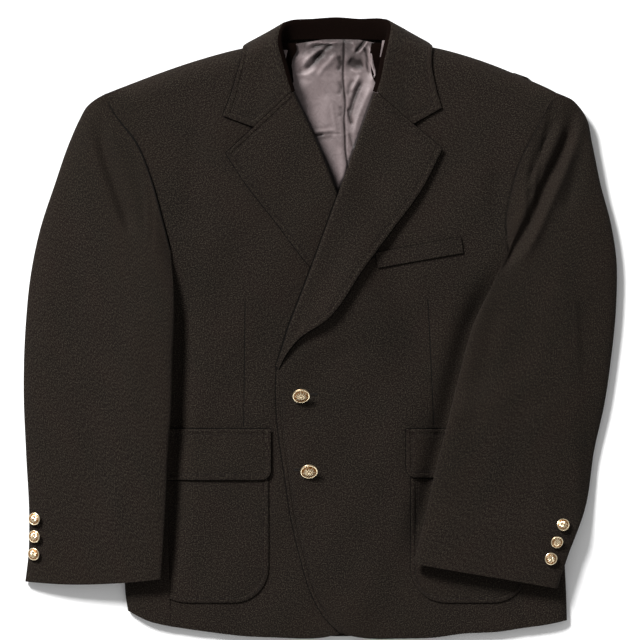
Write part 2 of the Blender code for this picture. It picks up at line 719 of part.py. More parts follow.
def pocket_piece(name, shape, side, lift, wall, finish, collection):
    """A flat piece with rounded lower corners, made from the front's own heights moved out."""
    corner = shape["corner"]
    rows = [(corner * (1 - math.cos(math.radians(a))), corner * (1 - math.sin(math.radians(a)))) for a in (0, 22, 45, 67, 90)]
    height = shape["top"] - shape["bottom"]
    rows += [(corner + (height - corner) * i / 3, 0.0) for i in (1, 2, 3)]

    def place(u, row):
        up, pull = row
        x = mix(shape["left"] + pull, shape["right"] - pull, u)
        p = Vector((x, shape["bottom"] + up))
        return Vector((p.x, p.y, front_top(p, side) + lift))

    return sheet(name, spread(0, 1, 7) + [1.0], rows, place, wall, 1, finish, collection)


def breast_welt(name, finish, collection):
    """The slanted welt of the breast pocket on the left chest."""
    bottom, top = line((73, 77), (182, 96)), line((70, 96), (179, 116))

    def place(u, v):
        p = mix(bottom.at(u), top.at(u), v)
        return Vector((p.x, p.y, front_top(p, LEFT) + LAID_OVER_GAP))

    return sheet(name, spread(0, 1, 7) + [1.0], [0.0, 0.5, 1.0], place, 1.4, 1, finish, collection)


# Turned profile of a shank button as (radius, height) shares of its diameter, from the middle of the dome
# round the rim to the end of the shank
BUTTON_PROFILE = (
    (0.0, 0.17), (0.2, 0.155), (0.37, 0.105), (0.45, 0.075), (0.5, 0.07), (0.5, 0.0),
    (0.34, -0.05), (0.1, -0.07), (0.1, -0.24), (0.0, -0.24),
)
BUTTON_STEPS = 12


def button(name, place, normal, diameter, finish, collection):
    """A domed metal button on a shank, its face turned along normal, with the foot of its rim on the cloth."""
    mesh = bpy.data.meshes.new(name)
    profile = bmesh.new()
    ring = [profile.verts.new(Vector((r, 0, h)) * diameter * MM) for r, h in BUTTON_PROFILE]
    for a, b in zip(ring, ring[1:]):
        profile.edges.new((a, b))
    profile.to_mesh(mesh)
    profile.free()
    piece = bpy.data.objects.new(name, mesh)
    collection.objects.link(piece)
    mesh.materials.append(finish)
    screw = piece.modifiers.new("Turned", "SCREW")
    screw.axis = "Z"
    screw.steps = screw.render_steps = BUTTON_STEPS
    screw.use_merge_vertices = True
    screw.merge_threshold = 0.00002
    screw.use_normal_calculate = True
    piece.location = (place - PLAN_MIDDLE) * MM
    piece.rotation_mode = "QUATERNION"
    piece.rotation_quaternion = normal.to_track_quat("Z", "Y")
    return piece


def seat_height(lean, diameter):
    """How far a button's middle stands off the cloth for its rim and shank to clear it, at the cosine of its lean."""
    tip = math.sqrt(max(1 - lean ** 2, 0.0))
    rim = 0.5 * diameter * tip
    shank = 0.24 * diameter * lean + 0.1 * diameter * tip
    return max(rim, shank) + RESTING_GAP


def front_buttons(finish, collection):
    normal = Vector((0.05, -0.66, 0.75)).normalized()
    for number, (x, y) in enumerate(((-24, -85), (-14, -181)), 1):
        p = Vector((x, y))
        height = front_top(p, LEFT) + seat_height(normal.z, FRONT_BUTTON_DIAMETER)
        button(f"front_button_{number}", Vector((x, y, height)), normal, FRONT_BUTTON_DIAMETER, finish, collection)


# Cuff buttons: plan place in mm of each foot on the sleeve, and the way its face leans from the cloth's own normal
CUFF_BUTTONS = {
    "right": (
        ((-360, -242), (-0.10, 0.05, 0.0)),
        ((-361, -264), (-0.14, -0.02, 0.0)),
        ((-362, -286), (-0.12, -0.10, 0.0)),
    ),
    "left": (
        ((305, -248), (0.02, 0.05, 0.0)),
        ((298, -271), (0.10, -0.30, 0.0)),
        ((289, -291), (0.0, -0.12, 0.0)),
    ),
}


def seat_on(surface, target):
    """The point of a topsleeve over a plan point, and the cloth's normal there."""

    def read(u, v):
        return surface((u, crown_share(u, TOPSLEEVE_POWER)), v)

    u, v, step = 0.85, 0.9, 0.05
    while step > 1e-5:
        tries = [(u, v), (u + step, v), (u - step, v), (u, v + step), (u, v - step)]
        tries = [(min(max(a, 0.01), 0.99), min(max(b, 0.01), 0.99)) for a, b in tries]
        best = min(tries, key=lambda place: (read(*place).xy - target).length)
        if best == (u, v):
            step /= 2
        u, v = best
    across = read(u + 0.005, v) - read(u - 0.005, v)
    along = read(u, v + 0.005) - read(u, v - 0.005)
    normal = across.cross(along).normalized()
    return read(u, v), normal if normal.z > 0 else -normal


def cuff_buttons(word, side, finish, collection):
    surface = topsleeve_surface(side, SLEEVE_FOLDS[word])
    for number, (place, leaning) in enumerate(CUFF_BUTTONS[word], 1):
        foot, cloth = seat_on(surface, Vector(place))
        normal = (cloth + Vector(leaning)).normalized()
        middle = foot + cloth * seat_height(normal.dot(cloth), CUFF_BUTTON_DIAMETER)
        name = f"cuff_button_{word}_{number}"
        button(name, middle, normal, CUFF_BUTTON_DIAMETER, finish, collection)


def main():
    for obj in list(bpy.data.objects):
        bpy.data.objects.remove(obj)
    blazer = bpy.data.collections.new("Blazer")
    bpy.context.scene.collection.children.link(blazer)
    wool = material("Black wool", (0.014, 0.012, 0.011), 0.9)
    satin = material("Grey satin lining", (0.23, 0.185, 0.18), 0.4)
    brass = material("Gilt brass", (0.62, 0.42, 0.2), 0.32, 1.0)

    for word, side in (("right", RIGHT), ("left", LEFT)):
        back(f"back_{word}", side, wool, blazer)
        side_panel(f"side_panel_{word}", side, wool, blazer)
        front(f"front_{word}", side, wool, blazer)
        topsleeve(f"topsleeve_{word}", side, SLEEVE_FOLDS[word], wool, blazer)
        undersleeve(f"undersleeve_{word}", side, wool, blazer)
        pocket = POCKETS[word]
        pocket_piece(f"patch_pocket_{word}", pocket["patch"], side, RESTING_GAP, POCKET_WALL, wool, blazer)
        flap_lift = RESTING_GAP * 2 + POCKET_WALL
        pocket_piece(f"pocket_flap_{word}", pocket["flap"], side, flap_lift, POCKET_WALL, wool, blazer)
        cuff_buttons(word, side, brass, blazer)
    lapel("lapel_right", RIGHT, Smooth((0.0, 0.5, 1.0), (1.9, 2.5, 3.0)), wool, blazer)
    lapel("lapel_left", LEFT, Smooth((0.0, 0.3, 1.0), (1.9, 2.8, 3.0)), wool, blazer)
    collar("collar", wool, blazer)
    back_lining("back_lining", satin, blazer)
    breast_welt("breast_welt", wool, blazer)
    front_buttons(brass, blazer)


main()
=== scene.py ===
# %% [markdown]
# # A two-button blazer laid flat
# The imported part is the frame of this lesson: every piece below lies where its solid lies. Plan places are
# in millimetres, with +X to the reader's right, +Y towards the collar and +Z up from the table. Left and
# right are the wearer's, so the left front is on the reader's right and laps over the right front.

import json
import math

import bmesh
import bpy
import numpy as np
from mathutils import Matrix, Vector

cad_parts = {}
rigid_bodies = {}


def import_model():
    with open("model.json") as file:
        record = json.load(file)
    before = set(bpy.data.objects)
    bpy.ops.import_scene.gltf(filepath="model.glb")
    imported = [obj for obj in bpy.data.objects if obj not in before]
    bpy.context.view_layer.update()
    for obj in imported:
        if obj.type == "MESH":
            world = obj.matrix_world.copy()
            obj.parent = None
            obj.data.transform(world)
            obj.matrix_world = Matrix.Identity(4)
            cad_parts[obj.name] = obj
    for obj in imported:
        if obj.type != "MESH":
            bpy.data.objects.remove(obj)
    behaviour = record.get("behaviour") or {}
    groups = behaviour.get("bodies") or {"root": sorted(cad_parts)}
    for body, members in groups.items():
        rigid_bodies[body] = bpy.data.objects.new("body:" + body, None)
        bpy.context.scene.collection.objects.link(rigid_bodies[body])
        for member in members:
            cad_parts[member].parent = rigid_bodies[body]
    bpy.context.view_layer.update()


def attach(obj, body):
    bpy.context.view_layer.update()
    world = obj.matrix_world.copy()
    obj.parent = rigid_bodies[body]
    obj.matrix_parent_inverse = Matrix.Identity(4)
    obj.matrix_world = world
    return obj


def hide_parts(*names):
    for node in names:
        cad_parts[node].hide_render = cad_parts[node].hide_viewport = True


for leftover in list(bpy.data.objects):
    bpy.data.objects.remove(leftover)
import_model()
MM = 0.001
PLAN_MIDDLE = np.array((0.3, 0.7, 0.0))

# %% [markdown]
# ## The camera
# The jacket lies on a table and is seen from straight above. A long lens from far away keeps the sleeves
# and the hem at one scale, as on a catalogue page, so a pixel is the same size all over the cloth.

# %% Camera
IMAGE_PIXELS = 640
PIXEL_MM = 1.27
CAMERA_HEIGHT = 7.0
CLOTH_LEVEL = 0.02
VIEW_MIDDLE = (-0.0003, 0.0101)
SENSOR = 36.0

camera_data = bpy.data.cameras.new("Overhead camera")
camera_data.sensor_width = SENSOR
camera_data.lens = SENSOR * (CAMERA_HEIGHT - CLOTH_LEVEL) / (IMAGE_PIXELS * PIXEL_MM * MM)
camera_data.clip_end = 50
camera = bpy.data.objects.new("Overhead camera", camera_data)
camera.location = (*VIEW_MIDDLE, CAMERA_HEIGHT)
bpy.context.scene.collection.objects.link(camera)
bpy.context.scene.camera = camera
print("lens, mm:", round(camera_data.lens, 1))

# %% [markdown]
# ## Smooth lines
# A cutter draws a panel's edges as smooth lines through a few measured points. The same is done here, and
# NumPy reads a line at thousands of places in one step, so that fine cloth is made quickly.


# %% Lines and shares
class Smooth:
    """Numbers or points joined smoothly over rising knots, read for many knots at once."""

    def __init__(self, knots, values):
        self.knots = np.array(knots, float)
        self.values = np.array(values, float)
        gap = np.diff(self.knots)
        step = (np.diff(self.values, axis=0).T / gap).T
        inner = ((step[:-1].T * gap[1:] + step[1:].T * gap[:-1]) / (gap[1:] + gap[:-1])).T
        self.slopes = np.concatenate([step[:1], inner, step[-1:]])

    def at(self, knot):
        knot = np.clip(np.asarray(knot, float), self.knots[0], self.knots[-1])
        i = np.clip(np.searchsorted(self.knots, knot, side="right") - 1, 0, len(self.knots) - 2)
        span = self.knots[i + 1] - self.knots[i]
        t = (knot - self.knots[i]) / span
        if self.values.ndim > 1:
            t, span = t[..., None], span[..., None]
        rise = t * t * (3 - 2 * t)
        leave = t * (1 - t) ** 2 * span
        arrive = t * t * (t - 1) * span
        ends = self.values[i] * (1 - rise) + self.values[i + 1] * rise
        return ends + self.slopes[i] * leave + self.slopes[i + 1] * arrive


def line(*points):
    """A smooth plan line through points, read by its share of length from 0 to 1."""
    run = np.concatenate([[0], np.cumsum(np.linalg.norm(np.diff(points, axis=0), axis=1))])
    return Smooth(run / run[-1], points)


def path(*stretches):
    """Lines end to end, each given as (line, knot where it starts, knot where it ends)."""

    def at(knot):
        found = stretches[0][0].at((knot - stretches[0][1]) / (stretches[0][2] - stretches[0][1]))
        for stretch, start, end in stretches[1:]:
            found = np.where((knot > start)[..., None], stretch.at((knot - start) / (end - start)), found)
        return found

    return at


def patch(bottom, top, left, right, u, v):
    """Plan points at (u, v) between four lines: bottom and top run with u, left and right with v."""
    zero, one = np.zeros_like(u), np.ones_like(u)
    across, along = u[:, None], v[:, None]
    ends = bottom(u) * (1 - along) + top(u) * along
    sides = left(v) * (1 - across) + right(v) * across
    low = bottom(zero) * (1 - across) + bottom(one) * across
    high = top(zero) * (1 - across) + top(one) * across
    return ends + sides - low * (1 - along) - high * along


def ease(share):
    share = np.clip(share, 0.0, 1.0)
    return share * share * (3 - 2 * share)


JOIN_DIP = 0.35


def soft_max(a, b, blend):
    """The greater of two heights, with a rounded join."""
    return 0.5 * (a + b + np.hypot(a - b, blend) - blend * np.exp(-(((a - b) / blend) ** 2)) * JOIN_DIP)


def mix(a, b, share):
    return a * (1 - share) + b * share


def near_line(p, places):
    """Each point's distance from a run of straight stretches, its side (1 or -1) and its share of the run."""
    a, along = places[:-1], np.diff(places, axis=0)
    length = np.linalg.norm(along, axis=1)
    off = p[:, None] - a
    t = np.clip((off * along).sum(-1) / np.maximum(length, 1e-6) ** 2, 0, 1)
    away = np.linalg.norm(off - t[..., None] * along, axis=-1)
    nearest, every = away.argmin(1), np.arange(len(p))
    side = np.sign(along[:, 0] * off[..., 1] - along[:, 1] * off[..., 0])[every, nearest]
    run = np.concatenate([[0], np.cumsum(length)])
    share = (run[nearest] + t[every, nearest] * length[nearest]) / run[-1]
    return away[every, nearest], side, share


def sampled(smooth, count):
    return smooth.at(np.linspace(0, 1, count + 1))


# %% [markdown]
# ## The outlines
# These are the plan lines of the solids, in the same numbers. The laid jacket is not symmetric, because one
# front laps over the other and the sleeves are laid at different angles, so each side has its own set.

# %% Outlines of both sides
RIGHT = {
    "sign": -1,
    "shoulder": line((-53, 363), (-94, 357), (-154, 341.5), (-203, 325), (-250, 307), (-274, 297)),
    "armhole": line(
        (-212, 57), (-203, 68), (-190, 100), (-199, 135), (-215, 192), (-232, 234), (-263, 275),
        (-274, 297),
    ),
    "armhole_seen": line((-190, 100), (-199, 135), (-215, 192), (-232, 234), (-263, 275), (-274, 297)),
    "armhole_back": line((-236, 52), (-234, 76), (-229, 119), (-232, 176), (-250, 239), (-274, 297)),
    "armpit": np.array((-246.0, 36.0)),
    "side_edge": line((-245, -359), (-248, -340), (-249, -294), (-250, -218), (-250, -91), (-246, 36)),
    "side_seam": line((-190, -379), (-194, -250), (-198, -100), (-212, 57)),
    "back_seam": line((-200, -376), (-236, 52)),
    "hem": line((25, -388.5), (8, -392.5), (-58, -393), (-100, -391), (-149, -385), (-190, -379)),
    "hem_side": line((-190, -379), (-216, -373), (-245, -359)),
    "hem_back": line((-200, -376), (-216, -373), (-245, -359)),
    "edge": line(
        (25, -388.5), (37, -360), (48, -313), (61, -256), (69, -192), (74, -130), (71, -55), (51, 30),
    ),
    "roll": line((51, 30), (20, 163), (-10, 239), (-38, 298)),
    "neck": line((-38, 298), (-44.5, 320), (-49, 340), (-53, 363)),
    "lapel_edge": line((43, 27), (-10, 76), (-58, 138), (-94, 184), (-119, 222)),
    "gorge": line((-38, 298), (-84, 255), (-119, 222)),
    "sleeve_inner": line(
        (-190, 100), (-185, 36), (-187, -41), (-189, -106), (-193, -158), (-196, -223), (-202, -318),
    ),
    "sleeve_outer": line(
        (-274, 297), (-288, 289), (-297, 281), (-305, 267), (-318, 238), (-337, 184), (-357, 122), (-368, 68),
        (-374, 10), (-377, -81), (-374, -158), (-370, -243), (-371, -288), (-375, -322),
    ),
    "cuff": line((-202, -318), (-251, -323), (-330, -325), (-375, -322)),
    "break_knot": 0.56,
    "gorge_knot": 0.913,
}
LEFT = {
    "sign": 1,
    "shoulder": line((89, 364), (138, 358.5), (203, 341), (254, 321), (295, 302), (302, 298)),
    "armhole": line(
        (270, 55), (251, 74), (237, 115), (236, 139), (240, 162), (256, 217), (278, 258), (302, 298),
    ),
    "armhole_seen": line((237, 115), (236, 139), (240, 162), (256, 217), (278, 258), (302, 298)),
    "armhole_back": line((299, 52), (294, 75), (284, 119), (282, 176), (291, 239), (302, 298)),
    "armpit": np.array((312.0, 36.0)),
    "side_edge": line((315, -371), (314, -335), (312, -294), (315, -218), (316, -91), (312, 36)),
    "side_seam": line((258, -381), (260, -250), (262, -100), (270, 55)),
    "back_seam": line((268, -379.5), (299, 52)),
    "hem": line(
        (25, -387), (39, -391), (57, -394), (102, -394.5), (147, -393), (179, -388.5), (229, -385.5),
        (258, -381),
    ),
    "hem_side": line((258, -381), (290, -376.5), (315, -371)),
    "hem_back": line((268, -379.5), (290, -376.5), (315, -371)),
    "edge": line(
        (25, -387), (7, -369), (-11, -337), (-25, -291), (-38, -233), (-45, -185), (-53, -130), (-56, -86),
        (-55, -48),
    ),
    "roll": line((-55, -48), (-7.6, 73), (26.4, 165.8), (73.4, 298)),
    "neck": line((73.4, 298), (80.5, 320), (85, 340), (89, 364)),
    "lapel_edge": line(
        (-52.6, -52), (-47, -40), (-29, -15), (9, 12), (56, 78), (90, 124), (128, 176), (155, 228),
    ),
    "gorge": line((73.4, 298), (118, 259), (155, 228)),
    "sleeve_inner": line(
        (237, 115), (239, 88), (216, 49), (197, 11), (179, -51), (163, -116), (145, -186), (131, -250),
        (118, -298),
    ),
    "sleeve_outer": line(
        (302, 298), (321, 290), (330, 281), (338, 269), (346, 235), (357, 182), (370, 133), (377, 87),
        (377, 36), (370, -40), (362, -95), (349, -154), (338, -225), (314, -291), (301, -330),
    ),
    "cuff": line((118, -298), (180, -309), (240, -319), (301, -330)),
    "break_knot": 0.451,
    "gorge_knot": 0.915,
}
SIDES = (("right", RIGHT), ("left", LEFT))
SIDE_KNOT = 0.585
NECK_KNOT = 0.76
CENTRE_BACK = line((22, -392), (30, -100), (28, 200), (20, 366))
for word, side in SIDES:
    side["fold"] = np.vstack([sampled(side["side_edge"], 14), sampled(side["armhole_back"], 14)])
    print(word, "shoulder, mm:", round(float(np.ptp(side["shoulder"].values[:, 0])), 1))

# %% [markdown]
# ## The lie of the cloth
# A laid jacket is a low cushion of layers: highest at the chest, thin at the hem, rounded off at the
# shoulders and sides. One set of height rules gives every panel its level, so what lies on a panel follows
# it. Soft swells of under a millimetre are added where nothing rests on the fronts, because real cloth is
# never ruled flat.

# %% Heights
BODY_WALL, FRONT_WALL, SLEEVE_WALL, LAPEL_WALL = 1.8, 2.4, 1.8, 2.4
COLLAR_WALL, LINING_WALL, POCKET_WALL = 2.2, 1.0, 1.6
SEAM_INSET, LAPEL_SEAM, LAPEL_REST, SLEEVE_HEAD_GAP, FOLD_SEAM_GAP = 0.02, 0.6, 1.5, -0.6, 0.3
RESTING_GAP, LAID_OVER_GAP = 0.4, 1.0
EDGE_SHARE, SHOULDER_ROUND, SIDE_ROUND, UNDER_ROUND = 0.45, 26.0, 20.0, 13.0
POINT_LIFT, POINT_SPREAD = 0.42, 24.0
OVERLAP_RISE, LAPEL_RISE, OVERLAP_EASE, OVERLAP_CLEAR = 3.2, 5.4, 60.0, 3.0
# Where the left front also lies over the right lapel, mm up the plan: from, grows over, to, fades over
OVER_LAPEL = (-40.0, 65.0, 172.0, 70.0)
LEAF_LIFT, LEAF_LIFT_FROM, LEAF_LIFT_FULL = 2.7, 326.0, 346.0
STEP_DOWN, STEP_SPREAD, ARMPIT_DROP, ARMPIT_LEVEL, ARMHOLE_REACH = 20.0, 11.0, 45.0, 10.0, 12.0
POCKET_STACK, POCKET_RAMP = 5.0, 45.0
REST_BLEND, REST_BLEND_FULL, LEAST_BLEND = 8.0, 25.0, 0.01
PLATEAU = Smooth((-394, -250, -100, 0, 100, 200, 300, 400), (11.0, 12.5, 15.0, 19.0, 25.0, 28.0, 30.0, 29.5))
HIDDEN_EDGE = Smooth(
    (-393, -360, -313, -256, -192, -130, -55, 30, 163, 239, 298),
    (10.0, 33.0, 48.0, 61.0, 69.0, 74.0, 71.0, 51.0, 20.0, -10.0, -38.0),
)
POCKETS = {
    "right": {
        "patch": {"left": -214, "right": -66, "top": -133, "bottom": -348, "corner": 44},
        "flap": {"left": -217, "right": -63, "top": -128, "bottom": -192, "corner": 12},
        "zone": (-217, -63, -120, -348),
    },
    "left": {
        "patch": {"left": 116, "right": 264, "top": -133, "bottom": -348, "corner": 44},
        "flap": {"left": 110, "right": 266, "top": -128, "bottom": -189, "corner": 12},
        "zone": (110, 266, -120, -348),
    },
}
SHOULDER_LINES = [sampled(side["shoulder"], 16) for word, side in SIDES]
SIDE_LINES = [sampled(side["side_edge"], 14) for word, side in SIDES]


def round_off(share):
    return np.sqrt(1 - (1 - np.clip(share, 0, 1)) ** 2)


def edge_share(p):
    """Height of an outer fold as a share of the plateau; the padded shoulder points stand higher."""
    away = np.minimum(*[np.linalg.norm(p - side["shoulder"].at(1.0), axis=1) for word, side in SIDES])
    return EDGE_SHARE + POINT_LIFT * np.exp(-((away / POINT_SPREAD) ** 2))


def fold_shares(p):
    """How far inside the shoulder and side folds plan points are."""
    shoulder = np.minimum(*[near_line(p, places)[0] for places in SHOULDER_LINES])
    return shoulder, np.minimum(*[near_line(p, places)[0] for places in SIDE_LINES])


def overlap_rise(p):
    """How far the left front stands above the body's own height."""
    start, grows, end, fades = OVER_LAPEL
    beyond = ease((p[:, 0] - HIDDEN_EDGE.at(p[:, 1]) - OVERLAP_CLEAR) / OVERLAP_EASE)
    over_lapel = ease((p[:, 1] - start) / grows) * (1 - ease((p[:, 1] - end) / fades))
    return (1 - beyond) * (OVERLAP_RISE + LAPEL_RISE * over_lapel)


def body_top(p):
    shoulder, side = fold_shares(p)
    height = PLATEAU.at(p[:, 1])
    edge = edge_share(p) * height
    return edge + (height - edge) * round_off(np.minimum(shoulder / SHOULDER_ROUND, side / SIDE_ROUND))


def body_bottom(p):
    shoulder, side = fold_shares(p)
    edge = edge_share(p) * PLATEAU.at(p[:, 1])
    lift = LEAF_LIFT * ease((p[:, 1] - LEAF_LIFT_FROM) / (LEAF_LIFT_FULL - LEAF_LIFT_FROM))
    return lift + (edge - lift) * (1 - round_off(np.minimum(shoulder, side) / UNDER_ROUND))


def side_line_x(side, y):
    return np.interp(y, side["fold"][:, 1], side["fold"][:, 0])


def pocket_height(p, side):
    """Extra height of the patch pocket and flap that a sleeve lies on."""
    left, right, top, bottom = POCKETS["right" if side is RIGHT else "left"]["zone"]
    x, y = p.T
    out = np.maximum.reduce([left - x, x - right, y - top, bottom - y, np.zeros_like(x)])
    return POCKET_STACK * (1 - ease(out / POCKET_RAMP))


def rest(p, side):
    """Height of what a sleeve lies on: the body, then a step down to the table outside it."""
    height = np.zeros(len(p))
    for reach in (0.0, STEP_SPREAD):
        near = p - (side["sign"] * reach, 0.0)
        outside = (near[:, 0] - side_line_x(side, near[:, 1])) * side["sign"]
        share = 1 - ease(outside / STEP_DOWN)
        drop = 1 - ease((near[:, 1] - side["armpit"][1] - ARMPIT_LEVEL) / ARMPIT_DROP)
        share = share * mix(1.0, drop, ease((outside + ARMHOLE_REACH + STEP_DOWN / 2) / STEP_DOWN))
        rise = overlap_rise(near) if side is LEFT else 0.0
        lying = share * (PLATEAU.at(near[:, 1]) + rise + pocket_height(near, side) + LAID_OVER_GAP)
        blend = REST_BLEND * ease(np.maximum(height, lying) / REST_BLEND_FULL)
        height = soft_max(height, lying, blend + LEAST_BLEND)
    return height


# Soft swells of the fronts, mm: height, and how many millimetres a wave takes across and along
SWELLS = ((0.9, 170.0, 260.0, 0.4), (0.55, 95.0, -150.0, 2.1), (0.3, 60.0, 85.0, 4.0))
SWELL_FADE, SWELL_CLEAR = 45.0, 0.2
COLLAR_FROM, COLLAR_FADE = 290.0, 50.0
CREASE_ENDS = 0.22


def below_collar(p):
    return ease((COLLAR_FROM - p[:, 1]) / COLLAR_FADE)


def swell(p, side):
    """Soft unevenness of a front, none near the sleeves, the pockets or the collar."""
    x, y = p.T
    wave = sum(high * np.sin(x / wide * 2 * math.pi + y / long * 2 * math.pi + turn)
               for high, wide, long, turn in SWELLS)
    inner = side["sleeve_inner"].values
    inner = inner[inner[:, 1].argsort()]
    free = ease((np.interp(y, inner[:, 1], inner[:, 0]) - x) * side["sign"] / SWELL_FADE - SWELL_CLEAR)
    return wave * free * below_collar(p)


# Drag lines of the fronts, mm: points, rise, half width and how sharp (2 is soft)
FRONT_CREASES = {
    "right": (
        (((-188, 96), (-181, 36), (-181, -41), (-183, -106), (-189, -190), (-196, -300), (-200, -375)),
         -11.0, 17.0, 2.0),
        (((-160, 275), (-158, 220), (-166, 165), (-172, 110)), -1.6, 15.0, 2.0),
        (((-120, 240), (-128, 160), (-132, 80)), 1.2, 20.0, 2.0),
        (((-70, 60), (-60, -40), (-40, -130)), -0.9, 22.0, 2.0),
        (((-25, 20), (-38, -60), (-40, -150), (-20, -260)), -1.2, 14.0, 2.0),
    ),
    "left": (
        (((236, 92), (214, 46), (195, 8), (177, -51), (161, -116), (143, -186), (129, -250), (112, -315)),
         -11.0, 16.0, 2.0),
        (((228, 205), (224, 160), (226, 110)), -1.6, 11.0, 2.0),
        (((190, 280), (196, 220), (188, 150), (175, 80)), 1.0, 22.0, 2.0),
        (((-40, -50), (10, -20), (70, 0)), 0.9, 12.0, 2.0),
        (((60, -40), (70, -140), (80, -260)), -0.9, 26.0, 2.0),
        (((5, -230), (25, -320), (60, -380)), 0.8, 14.0, 2.0),
    ),
}


def creases(p, table):
    """Rise of listed soft troughs and ridges at plan points."""
    rise = np.zeros(len(p))
    for points, high, half_width, power in table:
        away, _, share = near_line(p, sampled(line(*points), 12))
        ends = ease(share / CREASE_ENDS) * ease((1 - share) / CREASE_ENDS)
        rise += high * np.exp(-((away / half_width) ** power)) * ends
    return rise


def front_top(p, side):
    """Height of a front panel's upper surface, with its soft unevenness."""
    word = "right" if side is RIGHT else "left"
    own = body_top(p) + (overlap_rise(p) if side is LEFT else 0.0)
    return own + swell(p, side) + creases(p, FRONT_CREASES[word]) * below_collar(p)


print("chest level, mm:", round(float(PLATEAU.at(150.0)), 1))

# %% [markdown]
# ## From a net to cloth
# A panel is a flat net of threads bent into place, so each one starts as a bmesh grid whose points are
# moved to the panel's own surface. Rows and columns crowd together where there is something small to shape,
# such as a stitched edge, and spread out elsewhere. Solidify gives the wall, and a fine Bevel keeps its cut
# edges crisp. The UV map holds the cloth's own length and width in metres, so weave and speckle follow each
# panel.

# %% The sheet maker
NETS = {}
EDGE_BEVEL, EDGE_ANGLE = 0.3, 55


def placed(name, mesh, finish, node=None):
    """A finished mesh as a piece of the jacket and the solid that it stands for."""
    mesh.shade_smooth()
    mesh.materials.append(finish)
    piece = bpy.data.objects.new(name, mesh)
    bpy.context.scene.collection.objects.link(piece)
    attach(piece, "root")
    if node:
        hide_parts(node)
    return piece


def stations(count, near=(0.0,), far=(0.0,)):
    """Rows or columns as (share, mm): set distances from both ends, and count even steps between them."""
    middle = [(i / count, near[-1] * (1 - i / count) - far[-1] * i / count) for i in range(1, count)]
    return np.array([(0.0, d) for d in near] + middle + [(1.0, -d) for d in reversed(far)])


def share_of(station, length, least):
    """A station as a share of a length, crowded together evenly where the length is under the least."""
    return station[:, 0] + station[:, 1] / np.maximum(length, least)


def cloth(name, columns, rows, place, wall, side, finish, slot, node, even=True, lines=None, inner=None):
    """A cloth wall: a grid laid by place(column, row), thickened above (1), about (0) or below (-1) it.

    Inner gives a second finish and the last column that has it.
    """
    mesh = bpy.data.meshes.new(name)
    grid = bmesh.new()
    across, along = len(columns) - 1, len(rows) - 1
    bmesh.ops.create_grid(grid, x_segments=across, y_segments=along, size=0.5)
    grid.to_mesh(mesh)
    grid.free()
    flat = np.empty(len(mesh.vertices) * 3)
    mesh.vertices.foreach_get("co", flat)
    column = np.rint((flat[0::3] + 0.5) * across).astype(int)
    row = np.rint((flat[1::3] + 0.5) * along).astype(int)
    places = (place(np.asarray(columns)[column], np.asarray(rows)[row]) - PLAN_MIDDLE) * MM
    net = np.empty((along + 1, across + 1, 3))
    net[row, column] = places
    mesh.vertices.foreach_set("co", places.ravel())

    run_across = np.linalg.norm(np.diff(net, axis=1), axis=2)
    run_along = np.linalg.norm(np.diff(net, axis=0), axis=2)
    length_u = np.concatenate([np.zeros((along + 1, 1)), np.cumsum(run_across, axis=1)], axis=1)
    length_u = length_u - length_u[:, across // 2:across // 2 + 1]
    length_v = np.concatenate([np.zeros((1, across + 1)), np.cumsum(run_along, axis=0)])
    corner = np.empty(len(mesh.loops), int)
    mesh.loops.foreach_get("vertex_index", corner)
    cloth_map = mesh.uv_layers.new(name="Cloth")
    pairs = np.stack([length_u[row, column], length_v[row, column]], axis=1)[corner]
    cloth_map.data.foreach_set("uv", pairs.ravel())
    if lines is not None:
        found = lines(places / MM + PLAN_MIDDLE)[corner] * MM
        for first, title in ((0, "Seam"), (2, "Edge")):
            line_map = mesh.uv_layers.new(name=title)
            line_map.data.foreach_set("uv", found[:, first:first + 2].ravel())
    mesh.update()
    facing = sum(face.normal.z * face.area for face in mesh.polygons)
    if side != 0 and facing < 0:
        mesh.flip_normals()
    piece = placed(name, mesh, finish, node)
    if inner:
        mesh.materials.append(inner[0])
        first = np.empty(len(mesh.polygons), int)
        mesh.polygons.foreach_get("loop_start", first)
        of_face = np.minimum(column[corner[first]], column[corner[first + 2]])
        mesh.polygons.foreach_set("material_index", (of_face < inner[1]).astype(int))

    thick = piece.modifiers.new("Wall", "SOLIDIFY")
    thick.thickness = wall * MM
    thick.offset = side
    thick.use_even_offset = even
    crisp = piece.modifiers.new("Crisp edges", "BEVEL")
    crisp.width = EDGE_BEVEL * MM
    crisp.segments = 2
    crisp.limit_method = "ANGLE"
    crisp.angle_limit = math.radians(EDGE_ANGLE)
    crisp.harden_normals = True

    NETS[name] = net


# %% [markdown]
# ## Finishes
# Four finishes make the jacket: a firm wool worsted, a satin lining, sewing thread and antiqued gilt brass.
# Each is a Principled shader. One small function adds a node with its settings and links.


# %% Node and colour helpers
def linear(code):
    """An sRGB hex colour as the linear numbers that a shader takes."""
    parts = [int(code[i:i + 2], 16) / 255 for i in (1, 3, 5)]
    return (*[c / 12.92 if c <= 0.04045 else ((c + 0.055) / 1.055) ** 2.4 for c in parts], 1.0)


def fill(tree, node, inputs):
    """Sets a node's inputs, or links them where another node's output is given."""
    for name, value in inputs.items():
        if isinstance(value, bpy.types.NodeSocket):
            tree.links.new(value, node.inputs[name])
        else:
            node.inputs[name].default_value = value


def add(tree, kind, inputs=None, **settings):
    """Adds a node with its settings and inputs."""
    made = tree.nodes.new(kind)
    for name, value in settings.items():
        setattr(made, name, value)
    fill(tree, made, inputs or {})
    return made


def new_material(name):
    made = bpy.data.materials.new(name)
    made.use_nodes = True
    return made, made.node_tree, made.node_tree.nodes["Principled BSDF"]


# The colour inputs of a Mix node, and the Wave texture's scale for one band in a metre
MIX_A, MIX_B = 6, 7
ONE_BAND = 0.314
